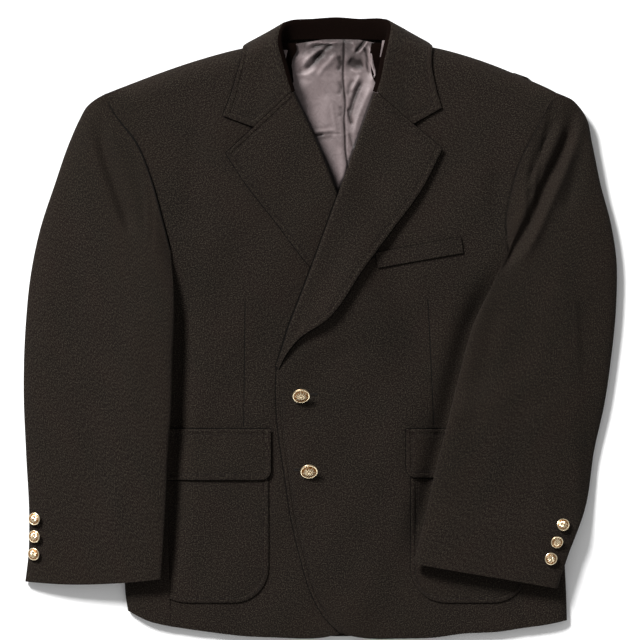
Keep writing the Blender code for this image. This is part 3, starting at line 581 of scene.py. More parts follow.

# %% [markdown]
# ### Wool worsted
# The cloth is spun from dark brown wool, woven in a firm fine twill and pressed. Its yarns are a third of a
# millimetre, too fine for this view, so the twill is drawn at 3 mm and a melange speckle at 1.5 mm. A low
# share of sheen gives the faint bloom along folded edges, and high roughness keeps the cloth matt. Darts
# are pressed seams, drawn as a thin dark ditch from the piece's own Seam map. The Edge map says where
# something lies on the cloth, and a painted shadow line is drawn at its foot so that it stays sharp; the
# armhole seam's dark line comes from the same map.

# %% Wool
WOOL_GROUND = "#090705"
WOOL_LIGHT = "#342f27"
WOOL_RED = "#160c09"
TWILL_MM = 3.2
SPECKLE_MM = 1.5
DRIFT_MM = 70.0
# Dark lines in the wool: a dart's pressed seam, the painted shadow line at the foot of what lies on the cloth
# with the armhole seam's line, and their colour
SEAM_DITCH_MM = 0.9
EDGE_SHADOW_AND_SEAM_MM = 1.8
FULL_LINE = 8.0
SEAM_AND_SHADOW_COLOUR = "#050403"


def wool_finish(name, with_line_maps):
    made, tree, shader = new_material(name)
    cloth_map = add(tree, "ShaderNodeUVMap", uv_map="Cloth").outputs["UV"]
    speckle = add(tree, "ShaderNodeTexNoise", {
        "Vector": cloth_map, "Scale": 1 / (SPECKLE_MM * MM), "Detail": 2.0, "Roughness": 0.6})
    fleck = add(tree, "ShaderNodeMapRange", {
        "Value": speckle.outputs["Fac"], "From Min": 0.48, "From Max": 0.68}).outputs["Result"]
    turned = add(tree, "ShaderNodeMapping", {"Vector": cloth_map, "Rotation": (0, 0, math.radians(38))})
    twill = add(tree, "ShaderNodeTexWave", {
        "Vector": turned.outputs["Vector"], "Scale": ONE_BAND / (TWILL_MM * MM), "Distortion": 1.2,
        "Detail": 1.0, "Detail Scale": 2.0})
    drift = add(tree, "ShaderNodeTexNoise", {
        "Vector": cloth_map, "Scale": 1 / (DRIFT_MM * MM), "Detail": 2.0})
    ground = add(tree, "ShaderNodeMix", {
        0: drift.outputs["Fac"], MIX_A: linear(WOOL_GROUND), MIX_B: linear(WOOL_RED)}, data_type="RGBA")
    yarn = add(tree, "ShaderNodeMix", {
        0: fleck, MIX_A: ground.outputs[2], MIX_B: linear(WOOL_LIGHT)}, data_type="RGBA")
    colour = yarn.outputs[2]
    height = add(tree, "ShaderNodeMath", {0: twill.outputs["Fac"], 1: 0.12}, operation="MULTIPLY")
    height = add(tree, "ShaderNodeMath", {
        0: speckle.outputs["Fac"], 1: height.outputs[0]}, operation="ADD").outputs[0]
    # Seam draws a dart's dark pressed line. Edge paints a shadow line at the foot of what lies on the cloth,
    # and the armhole seam's dark line; both also sink the bump.
    for title, line_mm in (("Seam", SEAM_DITCH_MM), ("Edge", EDGE_SHADOW_AND_SEAM_MM)) if with_line_maps else ():
        line_map = add(tree, "ShaderNodeUVMap", uv_map=title).outputs["UV"]
        found = add(tree, "ShaderNodeSeparateXYZ", {0: line_map})
        off = add(tree, "ShaderNodeMath", {0: found.outputs["X"]}, operation="ABSOLUTE").outputs[0]
        ditch = add(tree, "ShaderNodeMapRange", {
            "Value": off, "From Min": 0.3 * line_mm * MM, "From Max": line_mm * MM, "To Min": 1.0,
            "To Max": 0.0}, interpolation_type="SMOOTHSTEP").outputs["Result"]
        there = add(tree, "ShaderNodeMapRange", {
            "Value": found.outputs["Y"], "From Min": 0.0, "From Max": FULL_LINE * MM}).outputs["Result"]
        ditch = add(tree, "ShaderNodeMath", {0: ditch, 1: there}, operation="MULTIPLY").outputs[0]
        colour = add(tree, "ShaderNodeMix", {
            0: ditch, MIX_A: colour, MIX_B: linear(SEAM_AND_SHADOW_COLOUR)}, data_type="RGBA").outputs[2]
        deep = add(tree, "ShaderNodeMath", {0: ditch, 1: -3.0}, operation="MULTIPLY").outputs[0]
        height = add(tree, "ShaderNodeMath", {0: height, 1: deep}, operation="ADD").outputs[0]
    bump = add(tree, "ShaderNodeBump", {"Height": height, "Strength": 0.45, "Distance": 0.4 * MM})
    fill(tree, shader, {
        "Base Color": colour, "Normal": bump.outputs["Normal"], "Roughness": 0.92, "Specular IOR Level": 0.12,
        "Sheen Weight": 0.03, "Sheen Roughness": 0.45, "Sheen Tint": linear("#8a7d74")})
    return made


WOOL = wool_finish("Wool worsted, woven and pressed", False)
WOOL_SEAMED_AND_SHADED = wool_finish("Wool worsted with pressed darts and painted shadow lines", True)

# %% [markdown]
# ### Undercollar melton
# The underside and stand of a tailored collar are a felted wool, milled until no weave shows. Its near-black
# colour is painted shade, worn by the collar's stand and the neck facings; it has no gloss and only a faint
# cloudiness.


# %% Melton
FELT_MM = 1.8


def shaded_melton_finish():
    made, tree, shader = new_material("Wool melton, darkened as painted shade")
    cloth_map = add(tree, "ShaderNodeUVMap", uv_map="Cloth").outputs["UV"]
    mat = add(tree, "ShaderNodeTexNoise", {"Vector": cloth_map, "Scale": 1 / (FELT_MM * MM), "Detail": 3.0})
    # Near-black tones as painted shade, with a faint random cloudiness
    tone = add(tree, "ShaderNodeMix", {
        0: mat.outputs["Fac"], MIX_A: linear("#030201"), MIX_B: linear("#120a08")}, data_type="RGBA")
    bump = add(tree, "ShaderNodeBump", {"Height": mat.outputs["Fac"], "Strength": 0.5, "Distance": 0.3 * MM})
    fill(tree, shader, {
        "Base Color": tone.outputs[2], "Normal": bump.outputs["Normal"], "Roughness": 1.0,
        "Specular IOR Level": 0.02})
    return made


MELTON_SHADE = shaded_melton_finish()

# %% [markdown]
# ### Satin lining
# The lining is a viscose satin: long floats of smooth yarn that catch the light along every crease and look
# nearly black where they turn away from it, and here that light and shade are painted into the colour. Its
# warp lines are drawn at 1.5 mm, and a low roughness with some anisotropy gives the streaked shine. The Seam
# map of a lining piece says how high each crease stands, so a ridge gets painted highlight and a trough
# painted shade; the centre seam counts as a trough, and the map also says how much painted shade lies below
# the collar and under the rolled lapel edges.

# %% Satin
# Satin colours: painted shade in the troughs, the satin's own ground, painted highlight on the ridges
SATIN_PAINTED_SHADE = "#2a2322"
SATIN_GROUND = "#6c6060"
SATIN_PAINTED_HIGHLIGHT = "#8e8181"
WARP_MM = 1.5
CLOUD_MM = 13
SHADE_AT, HIGHLIGHT_AT = -2.2, 2.6


def satin_finish():
    made, tree, shader = new_material("Viscose satin, woven")
    cloth_map = add(tree, "ShaderNodeUVMap", uv_map="Cloth").outputs["UV"]
    crease_map = add(tree, "ShaderNodeUVMap", uv_map="Seam").outputs["UV"]
    crease = add(tree, "ShaderNodeSeparateXYZ", {0: crease_map})
    warp = add(tree, "ShaderNodeTexWave", {
        "Vector": cloth_map, "Scale": ONE_BAND / (WARP_MM * MM), "Distortion": 0.6, "Detail": 1.0},
        bands_direction="Y")
    cloud = add(tree, "ShaderNodeTexNoise", {
        "Vector": cloth_map, "Scale": 1 / (CLOUD_MM * MM), "Detail": 6.0, "Roughness": 0.62,
        "Distortion": 1.6})
    # Crease height paints a trough darker and a ridge paler; a random cloud mottles the tone
    lie = add(tree, "ShaderNodeMapRange", {
        "Value": crease.outputs["X"], "From Min": SHADE_AT * MM, "From Max": HIGHLIGHT_AT * MM}).outputs["Result"]
    streak = add(tree, "ShaderNodeMath", {0: cloud.outputs["Fac"], 1: -0.5}, operation="ADD").outputs[0]
    streak = add(tree, "ShaderNodeMath", {0: streak, 1: 0.6, 2: lie}, operation="MULTIPLY_ADD").outputs[0]
    # The map's Y is painted shade below the collar and under the rolled lapel edges
    neck_shade = add(tree, "ShaderNodeMath", {0: crease.outputs["Y"], 1: 1 / MM}, operation="MULTIPLY").outputs[0]
    tone_at = add(tree, "ShaderNodeMath", {0: streak, 1: neck_shade}, operation="SUBTRACT").outputs[0]
    low, high = [
        add(tree, "ShaderNodeMapRange", {
            "Value": tone_at, "From Min": start, "From Max": end}).outputs["Result"]
        for start, end in ((-0.1, 0.45), (0.45, 1.0))]
    ground = add(tree, "ShaderNodeMix", {
        0: low, MIX_A: linear(SATIN_PAINTED_SHADE), MIX_B: linear(SATIN_GROUND)}, data_type="RGBA")
    tone = add(tree, "ShaderNodeMix", {
        0: high, MIX_A: ground.outputs[2], MIX_B: linear(SATIN_PAINTED_HIGHLIGHT)}, data_type="RGBA")
    height = add(tree, "ShaderNodeMath", {0: cloud.outputs["Fac"], 1: 6.0}, operation="MULTIPLY").outputs[0]
    height = add(tree, "ShaderNodeMath", {0: height, 1: warp.outputs["Fac"]}, operation="ADD").outputs[0]
    bump = add(tree, "ShaderNodeBump", {"Height": height, "Strength": 0.3, "Distance": 0.3 * MM})
    fill(tree, shader, {
        "Base Color": tone.outputs[2], "Normal": bump.outputs["Normal"], "Roughness": 0.5, "Anisotropic": 0.4,
        "Specular IOR Level": 0.26, "Sheen Weight": 0.05})
    return made


SATIN = satin_finish()

# %% [markdown]
# ### Thread and brass
# The thread is mercerised cotton, a little glossier than the wool. The buttons are stamped brass, gilded
# and then darkened, with the dark rubbed off what stands up: a Relief attribute on each button says how
# high it is.


# %% Thread and brass
PLY_MM, STAIN_MM = 0.8, 2.5


def thread_finish():
    made, tree, shader = new_material("Cotton thread, mercerised")
    where = add(tree, "ShaderNodeTexCoord").outputs["Object"]
    ply = add(tree, "ShaderNodeTexNoise", {"Vector": where, "Scale": 1 / (PLY_MM * MM)})
    tone = add(tree, "ShaderNodeMix", {
        0: ply.outputs["Fac"], MIX_A: linear("#0a0807"), MIX_B: linear("#1e1a17")}, data_type="RGBA")
    fill(tree, shader, {"Base Color": tone.outputs[2], "Roughness": 0.75, "Specular IOR Level": 0.2})
    return made


def brass_finish():
    made, tree, shader = new_material("Gilt brass, stamped and antiqued")
    relief = add(tree, "ShaderNodeAttribute", attribute_name="Relief").outputs["Fac"]
    where = add(tree, "ShaderNodeTexCoord").outputs["Object"]
    stain = add(tree, "ShaderNodeTexNoise", {"Vector": where, "Scale": 1 / (STAIN_MM * MM), "Detail": 4.0})
    worn = add(tree, "ShaderNodeMath", {0: relief, 1: stain.outputs["Fac"]}, operation="ADD").outputs[0]
    bright = add(tree, "ShaderNodeMapRange", {
        "Value": worn, "From Min": 0.5, "From Max": 1.0}).outputs["Result"]
    tone = add(tree, "ShaderNodeMix", {
        0: bright, MIX_A: linear("#85531d"), MIX_B: linear("#fff0cc")}, data_type="RGBA")
    rough = add(tree, "ShaderNodeMapRange", {"Value": bright, "To Min": 0.55, "To Max": 0.24})
    fill(tree, shader, {"Base Color": tone.outputs[2], "Roughness": rough.outputs["Result"], "Metallic": 1.0})
    return made


THREAD = thread_finish()
BRASS = brass_finish()
print("finishes:", [m.name for m in (WOOL, WOOL_SEAMED_AND_SHADED, MELTON_SHADE, SATIN, THREAD, BRASS)])

# %% [markdown]
# ## Stitched edges
# Lapels, collar, fronts, flaps and patches are edge-stitched: two rows hold the turned edge, which swells a
# little outside them, and the rows sink in. Here the swell and the ditches are in the net itself, and the
# stitches are small spindles of thread laid along the rows, a few dozen faces each at most.

# %% Edge relief and stitches
STITCH_ROW = 5.0
SECOND_ROW = 7.4
EDGE_STEPS = (0.0, 0.7, 1.7, 3.0, 4.0, 4.5, STITCH_ROW, 5.5, 6.2, 6.9, SECOND_ROW, 7.9, 8.8, 10.5, 13.0)
STITCH_PITCH, STITCH_LENGTH, STITCH_WIDTH = 3.4, 2.5, 0.55
SWELL_HIGH, SWELL_POWER = 0.5, 0.8
DITCH_DEEP, SECOND_DEEP, DITCH_WIDE = 0.75, 0.5, 0.65


def edge_swell(d):
    """Relief of a turned and stitched edge at a distance from it, mm."""
    swelling = SWELL_HIGH * np.sin(np.clip(d / STITCH_ROW, 0, 1) * math.pi) ** SWELL_POWER
    ditches = [deep * np.exp(-(((d - row) / DITCH_WIDE) ** 2))
               for row, deep in ((STITCH_ROW, DITCH_DEEP), (SECOND_ROW, SECOND_DEEP))]
    return swelling - (ditches[0] + ditches[1])


def stitches(name, rows):
    """Spindles of thread along rows of points with their normals, all in metres."""
    mesh = bpy.data.meshes.new(name)
    shape = bmesh.new()
    for points, normals in rows:
        run = np.concatenate([[0], np.cumsum(np.linalg.norm(np.diff(points, axis=0), axis=1))])
        for start in np.arange(0.5 * STITCH_PITCH * MM, run[-1] - STITCH_PITCH * MM * 0.5, STITCH_PITCH * MM):
            ends = [np.array([np.interp(s, run, points[:, k]) for k in range(3)])
                    for s in (start, start + STITCH_LENGTH * MM)]
            normal = Vector([np.interp(start, run, normals[:, k]) for k in range(3)]).normalized()
            along = Vector(ends[1] - ends[0]).normalized()
            across = normal.cross(along).normalized()
            up = along.cross(across)
            turn = Matrix((along, across, up)).transposed().to_4x4()
            middle = Vector((ends[0] + ends[1]) / 2) + up * STITCH_WIDTH * 0.1 * MM
            size = Matrix.Diagonal((STITCH_LENGTH, STITCH_WIDTH, STITCH_WIDTH * 0.8, 1))
            matrix = Matrix.Translation(middle) @ turn @ size
            bmesh.ops.create_icosphere(shape, subdivisions=1, radius=0.5 * MM, matrix=matrix)
    shape.to_mesh(mesh)
    shape.free()
    placed(name, mesh, THREAD)
    print(f"{name}: {len(mesh.polygons)} faces")


def net_normals(net):
    """The normals at a net's points, turned to the upper side."""
    normals = np.cross(np.gradient(net, axis=1), np.gradient(net, axis=0))
    normals /= np.linalg.norm(normals, axis=2, keepdims=True) + 1e-12
    return normals * np.sign(normals[..., 2].mean())


def net_line(name, column=None, row=None, start=0, end=None, lift=0.0):
    """A row or column of a panel's net, with normals, as the run for a row of stitches."""
    net, normal = NETS[name], net_normals(NETS[name])
    pick = (slice(start, end), column) if column is not None else (row, slice(start, end))
    return net[pick] + normal[pick] * lift * MM, normal[pick]


# %% [markdown]
# ## Fronts
# Each front runs from its edge, roll line and neck to the side seam and armhole. Its lower edge is stitched
# as far as the lapel's break. The dart is a straight pressed seam, so it is passed on as a Seam map for the
# shader, and a shallow pinch in the net lets the cloth swell beside it.

# %% Front panels
FRONT_COLUMNS = stations(58, EDGE_STEPS, (0.0, 1.2, 3.0, 6.0))
FRONT_ROWS = stations(205, (0.0, 0.6, 1.6, 3.2, 5.5), (0.0, 0.2, 1.0, 2.6, 5.5, 9.0))
FRONT_LENGTH = 760.0
PANEL_WIDTH = 230.0
HEM_ROLL = 0.8
DARTS = {
    "right": np.array(((-95.0, 36.0), (-96.0, -45.0), (-97.0, -126.0))),
    "left": np.array(((137.0, 41.0), (141.0, -42.0), (145.0, -125.0))),
}


def outside_of(p, corners):
    """Signed distance from a closed outline, below 0 inside it."""
    ring = np.vstack([corners, corners[:1]])
    away = near_line(p, ring)[0]
    a, b = ring[:-1], ring[1:]
    spans = (a[:, 1] > p[:, 1:]) != (b[:, 1] > p[:, 1:])
    slope = (b[:, 0] - a[:, 0]) / np.where(b[:, 1] == a[:, 1], 1e-9, b[:, 1] - a[:, 1])
    crossed = spans & (p[:, :1] < a[:, 0] + (p[:, 1:] - a[:, 1]) * slope)
    return np.where(crossed.sum(1) % 2, -away, away)


def rounded(shape):
    """A pocket's whole outline with its two rounded lower corners."""
    turn = np.radians(np.linspace(0, 90, 9))
    r = shape["corner"]
    low_left = [(shape["left"] + r - r * math.cos(t), shape["bottom"] + r - r * math.sin(t)) for t in turn]
    low_right = [(shape["right"] - r + r * math.sin(t), shape["bottom"] + r - r * math.cos(t)) for t in turn]
    return np.array([(shape["left"], shape["top"]), *low_left, *low_right, (shape["right"], shape["top"])])


# Collar sections in plan, from the front round the neck: neck seam, stand's foot, roll, leaf's middle and edge
COLLAR_PLAN = {
    "right": (
        ((-36.8, 299.2), (-33.4, 301), (-38.4, 299.4), (-84.6, 256), (-123, 270)),
        ((-43.1, 320), (-39.1, 320), (-45, 320), (-78, 298), (-113, 296)),
        ((-47.6, 340), (-45, 341), (-51, 341), (-76, 332), (-104, 326)),
        ((-51.2, 357.4), (-50.2, 363), (-56, 363), (-79, 355), (-98, 347)),
        ((-46, 366), (-48, 380), (-51, 382.5), (-71, 372), (-96, 359.5)),
        ((-30, 367.8), (-37, 390.5), (-40, 390), (-56, 379.5), (-76, 367)),
        ((-6, 368.2), (-9, 393), (-10, 391.5), (-24, 376), (-40, 361)),
    ),
    "left": (
        ((72.0, 299.2), (68.8, 300.6), (74.4, 299), (118.6, 260), (154, 280)),
        ((79.1, 320), (74.4, 320), (80.4, 320), (112, 301), (148, 300)),
        ((83.6, 340), (78.2, 341), (84.4, 341), (113, 334), (142, 328)),
        ((87.0, 357), (83.4, 363), (89.2, 363), (117, 356), (141, 348)),
        ((82, 366), (87.4, 383), (91, 385.5), (113, 373), (141, 360)),
        ((68, 367.8), (77, 392.5), (80, 393), (97, 384), (118, 370)),
        ((46, 368.2), (49, 393), (50, 391.5), (64, 376), (82, 361)),
    ),
}
WELT_CORNERS = np.array(((70.0, 96.0), (73.0, 77.0), (182.0, 96.0), (179.0, 116.0)))
ROLL_LEAST, ROLL_REACH, ROLL_FOOT, ROLL_GROWS = 0.9, 4.3, 0.1, 0.16
# How strong the painted shadow line at the foot of each piece is; FULL_LINE is as strong as the shader goes
FOOT_SHADOW_LINES = {"lapel": 8.0, "collar": 8.0, "patch": 5.0, "flap": 8.0, "welt": 3.0, "front": 7.0}
ARMHOLE_LINE = {"right": 7.0, "left": 3.4}
ARMHOLE_FADE_FROM, ARMHOLE_FADE = 8, 12
DART_LINE = 7.0
PINCH_DEEP, PINCH_WIDE = 0.5, 4.0


def roll_edge(side, count=24):
    """The seen edge of a rolled lapel, outside its roll line."""
    places = sampled(side["roll"], count)
    along = np.gradient(places, axis=0)
    along /= np.linalg.norm(along, axis=1)[:, None]
    grown = ROLL_FOOT + (1 - ROLL_FOOT) * ease(np.linspace(0, 1, count + 1) / ROLL_GROWS)
    reach = ROLL_LEAST + ROLL_REACH * grown
    return places + np.column_stack([along[:, 1], -along[:, 0]]) * -side["sign"] * reach[:, None]


def left_front_ring():
    """The left front's outline over the right one: its cut edge, then its rolled lapel."""
    return np.vstack([sampled(LEFT["edge"], 24), roll_edge(LEFT), [(300, 298), (300, -387)]])


def lying_on(word, side):
    """Outlines of what lies on a front, each with the strength of its painted shadow line."""
    lapel_ring = [sampled(side["lapel_edge"], 24), sampled(side["gorge"], 4)[::-1],
                  sampled(side["roll"], 12)[::-1]]
    sections = np.array(COLLAR_PLAN[word][:5])
    leaf_edge = Smooth(range(5), sections[:, 4]).at(np.linspace(0, 4, 17))
    collar_ring = [sections[0, 2:4], leaf_edge, sections[::-1, 2]]
    found = {"lapel": np.vstack(lapel_ring), "collar": np.vstack(collar_ring),
             "patch": rounded(POCKETS[word]["patch"]), "flap": rounded(POCKETS[word]["flap"])}
    found.update({"welt": WELT_CORNERS} if side is LEFT else {"front": left_front_ring()})
    return [(outline, FOOT_SHADOW_LINES[what]) for what, outline in found.items()]


def armhole_line(p, word, side):
    """How far points are from the armhole's seam, and how strong its dark line is there."""
    from_shoulder = near_line(p, sampled(side["shoulder"], 16))[0]
    fade = ease((from_shoulder - ARMHOLE_FADE_FROM) / ARMHOLE_FADE)
    return near_line(p, sampled(side["armhole_seen"], 24))[0], ARMHOLE_LINE[word] * fade


def edge_only(away, strength):
    """The line maps of a piece without a dart, from distances to an edge and the line's strength there."""
    none = np.zeros(len(away))
    return np.stack([none + FULL_LINE, none, away, none + strength], axis=1)


def front_lines(word, side):
    """Distances and strengths of the dart and of the edges that lie on a front, for the wool's dart and
    painted shadow lines.
    """
    outlines = lying_on(word, side)

    def lines(places):
        p = places[:, :2]
        away, turn, share = near_line(p, DARTS[word])
        inside = ease(share / 0.04) * ease((1 - share) / 0.01)
        off = np.array([outside_of(p, outline) for outline, strong in outlines])
        nearest, strong = off.min(0), np.array([strong for outline, strong in outlines])[off.argmin(0)]
        armhole, at_armhole = armhole_line(p, word, side)
        strength = np.where(armhole < nearest, at_armhole, strong)
        return np.stack([away * turn, inside * DART_LINE, np.minimum(nearest, armhole), strength], axis=1)

    return lines


def front(word, side):
    near = path((side["edge"], 0, side["break_knot"]),
                (side["roll"], side["break_knot"], side["gorge_knot"]),
                (side["neck"], side["gorge_knot"], 1))
    far = path((side["side_seam"], 0, SIDE_KNOT), (side["armhole"], SIDE_KNOT, 1))

    def place(column, row):
        v = share_of(row, FRONT_LENGTH, 0)
        u = share_of(column, PANEL_WIDTH, 0)
        margin = SEAM_INSET / PANEL_WIDTH
        u = margin + u * (1 - 2 * margin)
        p = patch(side["hem"].at, side["shoulder"].at, near, far, u, v)
        strip = np.interp((1 - v) * FRONT_LENGTH, (0.0, 0.2, 1.2), (SEAM_INSET, 1.2, 0.0))
        low = ease((side["break_knot"] - v) / 0.03)
        away, _, share = near_line(p, DARTS[word])
        dart_ends = ease(share / 0.3) * ease((1 - share) / 0.02)
        pinch = PINCH_DEEP * np.exp(-((away / PINCH_WIDE) ** 2)) * dart_ends
        from_edge = near_line(p, sampled(side["edge"], 40))[0]
        sink = HEM_ROLL * (1 - ease((v * FRONT_LENGTH) / 5.0))
        height = front_top(p, side) + strip - pinch + low * edge_swell(from_edge) - sink
        return np.column_stack([p, height])

    cloth(f"front_{word}", FRONT_COLUMNS, FRONT_ROWS, place, FRONT_WALL, -1, WOOL_SEAMED_AND_SHADED, "wool",
          f"front_{word}", lines=front_lines(word, side))


for word, side in SIDES:
    front(word, side)
edge_end = int(len(FRONT_ROWS) * LEFT["break_knot"])
stitches("front_left_stitching", [
    net_line("front_left", column=EDGE_STEPS.index(STITCH_ROW), start=4, end=edge_end),
    net_line("front_left", column=EDGE_STEPS.index(SECOND_ROW), start=5, end=edge_end),
])

# %% [markdown]
# ## Back and side panels
# The back is cut in two halves with a centre seam, and lies on the table. A side panel wraps round the
# outer fold from the front's side seam to the back's. They are seen only from the sides and below, so their
# nets are coarser.

# %% Back halves and side panels
SIDE_LENGTH = 400.0
SIDE_WIDTH = 30.0


def side_panel(word, side):
    arm_top = line(side["armhole"].at(0.0), side["armpit"])
    arm_back = line(side["armhole_back"].at(0.0), side["armpit"])

    def place(column, row):
        upper = column[:, 1] > 0.5
        margin = SEAM_INSET / SIDE_WIDTH
        u = margin + column[:, 0] * (1 - 2 * margin)
        v = SEAM_INSET / SIDE_LENGTH + row * (1 - 2 * SEAM_INSET / SIDE_LENGTH)
        p = patch(side["hem_side"].at, arm_top.at, side["side_seam"].at, side["side_edge"].at, u, v)
        q = patch(side["hem_back"].at, arm_back.at, side["back_seam"].at, side["side_edge"].at, u, v)
        top = np.column_stack([p, body_top(p)])
        return np.where(upper[:, None], top, np.column_stack([q, body_bottom(q)]))

    shares = [0.0, 0.2, 0.4, 0.55, 0.68, 0.78, 0.86, 0.92, 0.96, 0.985]
    columns = [(u, 1.0) for u in shares] + [(u, 0.0) for u in reversed(shares)]
    cloth(f"side_panel_{word}", columns, np.linspace(0, 1, 91), place, BODY_WALL, -1, WOOL, "wool",
          f"side_panel_{word}")


def back(word, side):
    start = side["back_seam"].at(0.0)
    hem = line(start, (start + (22, -392)) / 2 + (0, -4), (22, -392))
    far = path((side["back_seam"], 0, SIDE_KNOT), (side["armhole_back"], SIDE_KNOT, 1))
    shoulder = line(*side["shoulder"].at(1 - np.arange(7) / 6))
    first = side["shoulder"].at(0.0)
    neck = line(first, (first + (20, 367)) / 2 + (0, -1), (20, 366))
    top = path((shoulder, 0, NECK_KNOT), (neck, NECK_KNOT, 1))

    def place(column, row):
        margin = SEAM_INSET / PANEL_WIDTH
        u = margin + column * (1 - 2 * margin)
        p = patch(hem.at, top, far, CENTRE_BACK.at, u, row)
        strip = np.interp((1 - row) * FRONT_LENGTH, (0.0, 0.4, 1.9), (1.2, 0.6, 0.0))
        return np.column_stack([p, body_bottom(p) - np.where(u <= NECK_KNOT, strip, 0.0)])

    rows = np.concatenate([np.linspace(0, 0.94, 95), [0.955, 0.968, 0.98, 0.988, 0.9935, 0.9975, 0.9995, 1.0]])
    columns = np.concatenate([np.linspace(0, NECK_KNOT, 27), np.linspace(NECK_KNOT, 1, 10)[1:]])
    cloth(f"back_{word}", columns, rows, place, BODY_WALL, 1, WOOL, "wool", f"back_{word}")


for word, side in SIDES:
    side_panel(word, side)
    back(word, side)

# %% [markdown]
# ## Sleeves
# A tailored sleeve is a top half and an under half. Laid down it is a flattened tube that follows the body,
# steps down to the table outside it, and blends into the armhole at its head. The main folds are listed: long
# drag folds from the shoulder point, deep and sharp on the left sleeve, which is turned inwards.

# %% Sleeve shapes
SLEEVE_LENGTH = 410.0
TOP_POWER, UNDER_POWER = 2.7, 5.0
HEAD_SHARE = 0.11
HEAD_BLEND, OUTER_BLEND, HEAD_CLEAR = 0.15, 0.09, 0.2
UNDER_START = 0.11
LEAST_THICKNESS = 5.4
FOLD_LIMIT = 0.45
SLEEVE_BLEND = 7.0
# The sleeve head's lap over the shoulder seam: how far in mm, which way, down which share of the sleeve, from
# where across it, and how far in mm the lapped edge may stand above its seam
HEAD_LAP, LAP_WAY, LAP_DOWN, LAP_FROM, LAP_GROWS, HEAD_PROUD = 3.0, (0.87, 0.49), 0.02, 0.72, 0.2, 1.0
SEAM_AT_PIT, SEAM_AT_SHOULDER = 2.7, 0.4
INNER_FOLD_LIMIT, INNER_FOLD_LEAST = 0.5, 6.0
INNER_THICKNESS = Smooth((0.0, 0.06, 0.12, 0.25, 0.5, 0.75, 1.0), (0.6, 4.0, 11.0, 18.5, 18.0, 15.0, 13.0))
OUTER_THICKNESS = Smooth((0.0, 0.12, 0.25, 0.5, 0.75, 1.0), (30.0, 28.0, 25.0, 21.0, 17.0, 14.0))

# Sleeve creases, mm: points, rise, half width and how sharp (2 is soft)
SLEEVE_CREASES = {
    "right": (
        (((-284, 275), (-275, 225), (-262, 185), (-247, 143), (-236, 112)), -9.0, 6.0, 1.7),
        (((-274, 268), (-258, 222), (-240, 180), (-222, 135)), 2.0, 9.0, 2.0),
        (((-318, 215), (-322, 150), (-312, 80), (-300, 0)), -1.6, 16.0, 2.0),
        (((-345, 120), (-350, 40), (-345, -60)), 1.2, 12.0, 2.0),
        (((-215, 40), (-235, -30), (-240, -110)), 1.3, 15.0, 2.0),
        (((-300, -60), (-290, -150), (-296, -240)), -1.0, 20.0, 2.0),
        (((-240, -170), (-262, -230), (-270, -300)), 0.9, 14.0, 2.0),
    ),
    "left": (
        (((321, 290), (317, 250), (306, 222), (284, 176), (263, 129), (247, 102), (228, 66)), -16.0, 7.0, 1.6),
        (((336, 262), (331, 224), (322, 185), (308, 140)), -4.0, 8.5, 1.8),
        (((301, 272), (286, 240), (272, 205), (262, 178)), -4.2, 4.0, 1.8),
        (((286, 212), (274, 186), (262, 160)), -2.0, 4.0, 1.8),
        (((332, 278), (325, 238), (313, 206), (293, 160), (271, 112), (250, 76)), 4.6, 6.0, 1.8),
        (((312, 272), (300, 236), (282, 200), (268, 165)), 2.6, 6.0, 1.8),
        (((318, 130), (300, 60), (285, -20), (268, -100)), 1.6, 18.0, 2.0),
        (((232, 50), (214, -10), (200, -80), (186, -150)), -2.2, 11.0, 2.0),
        (((345, 60), (340, -20), (328, -90)), -1.4, 14.0, 2.0),
        (((240, -60), (225, -140), (210, -220)), 1.2, 16.0, 2.0),
        (((290, -120), (270, -190), (256, -260)), -1.1, 14.0, 2.0),
    ),
}


def sleeve_edge(side, which, share):
    """A fold of a sleeve: the level of what it lies on, and the sleeve's thickness there."""
    p = side[which].at(share)
    if which == "sleeve_outer":
        return rest(p, side) * ease(share / OUTER_BLEND), OUTER_THICKNESS.at(share)
    level = mix(front_top(p, side) + HEAD_CLEAR, rest(p, side), ease(share / HEAD_BLEND))
    return level, INNER_THICKNESS.at(share)


def ring_columns(power, fine, even):
    """Places across a flattened tube as (share across, share of height), close together at its folds."""
    heights = np.linspace(0, 0.85, fine + 1)
    start = 0.5 * (1 - (1 - heights ** power) ** (1 / power))
    shares = np.concatenate([start, np.linspace(start[-1], 0.5, even + 1)[1:]])
    height = (1 - np.abs(1 - 2 * shares) ** power) ** (1 / power)
    height[:fine + 1] = heights
    half = np.column_stack([shares, height])
    return np.vstack([half, np.column_stack([1 - shares, height])[-2::-1]])


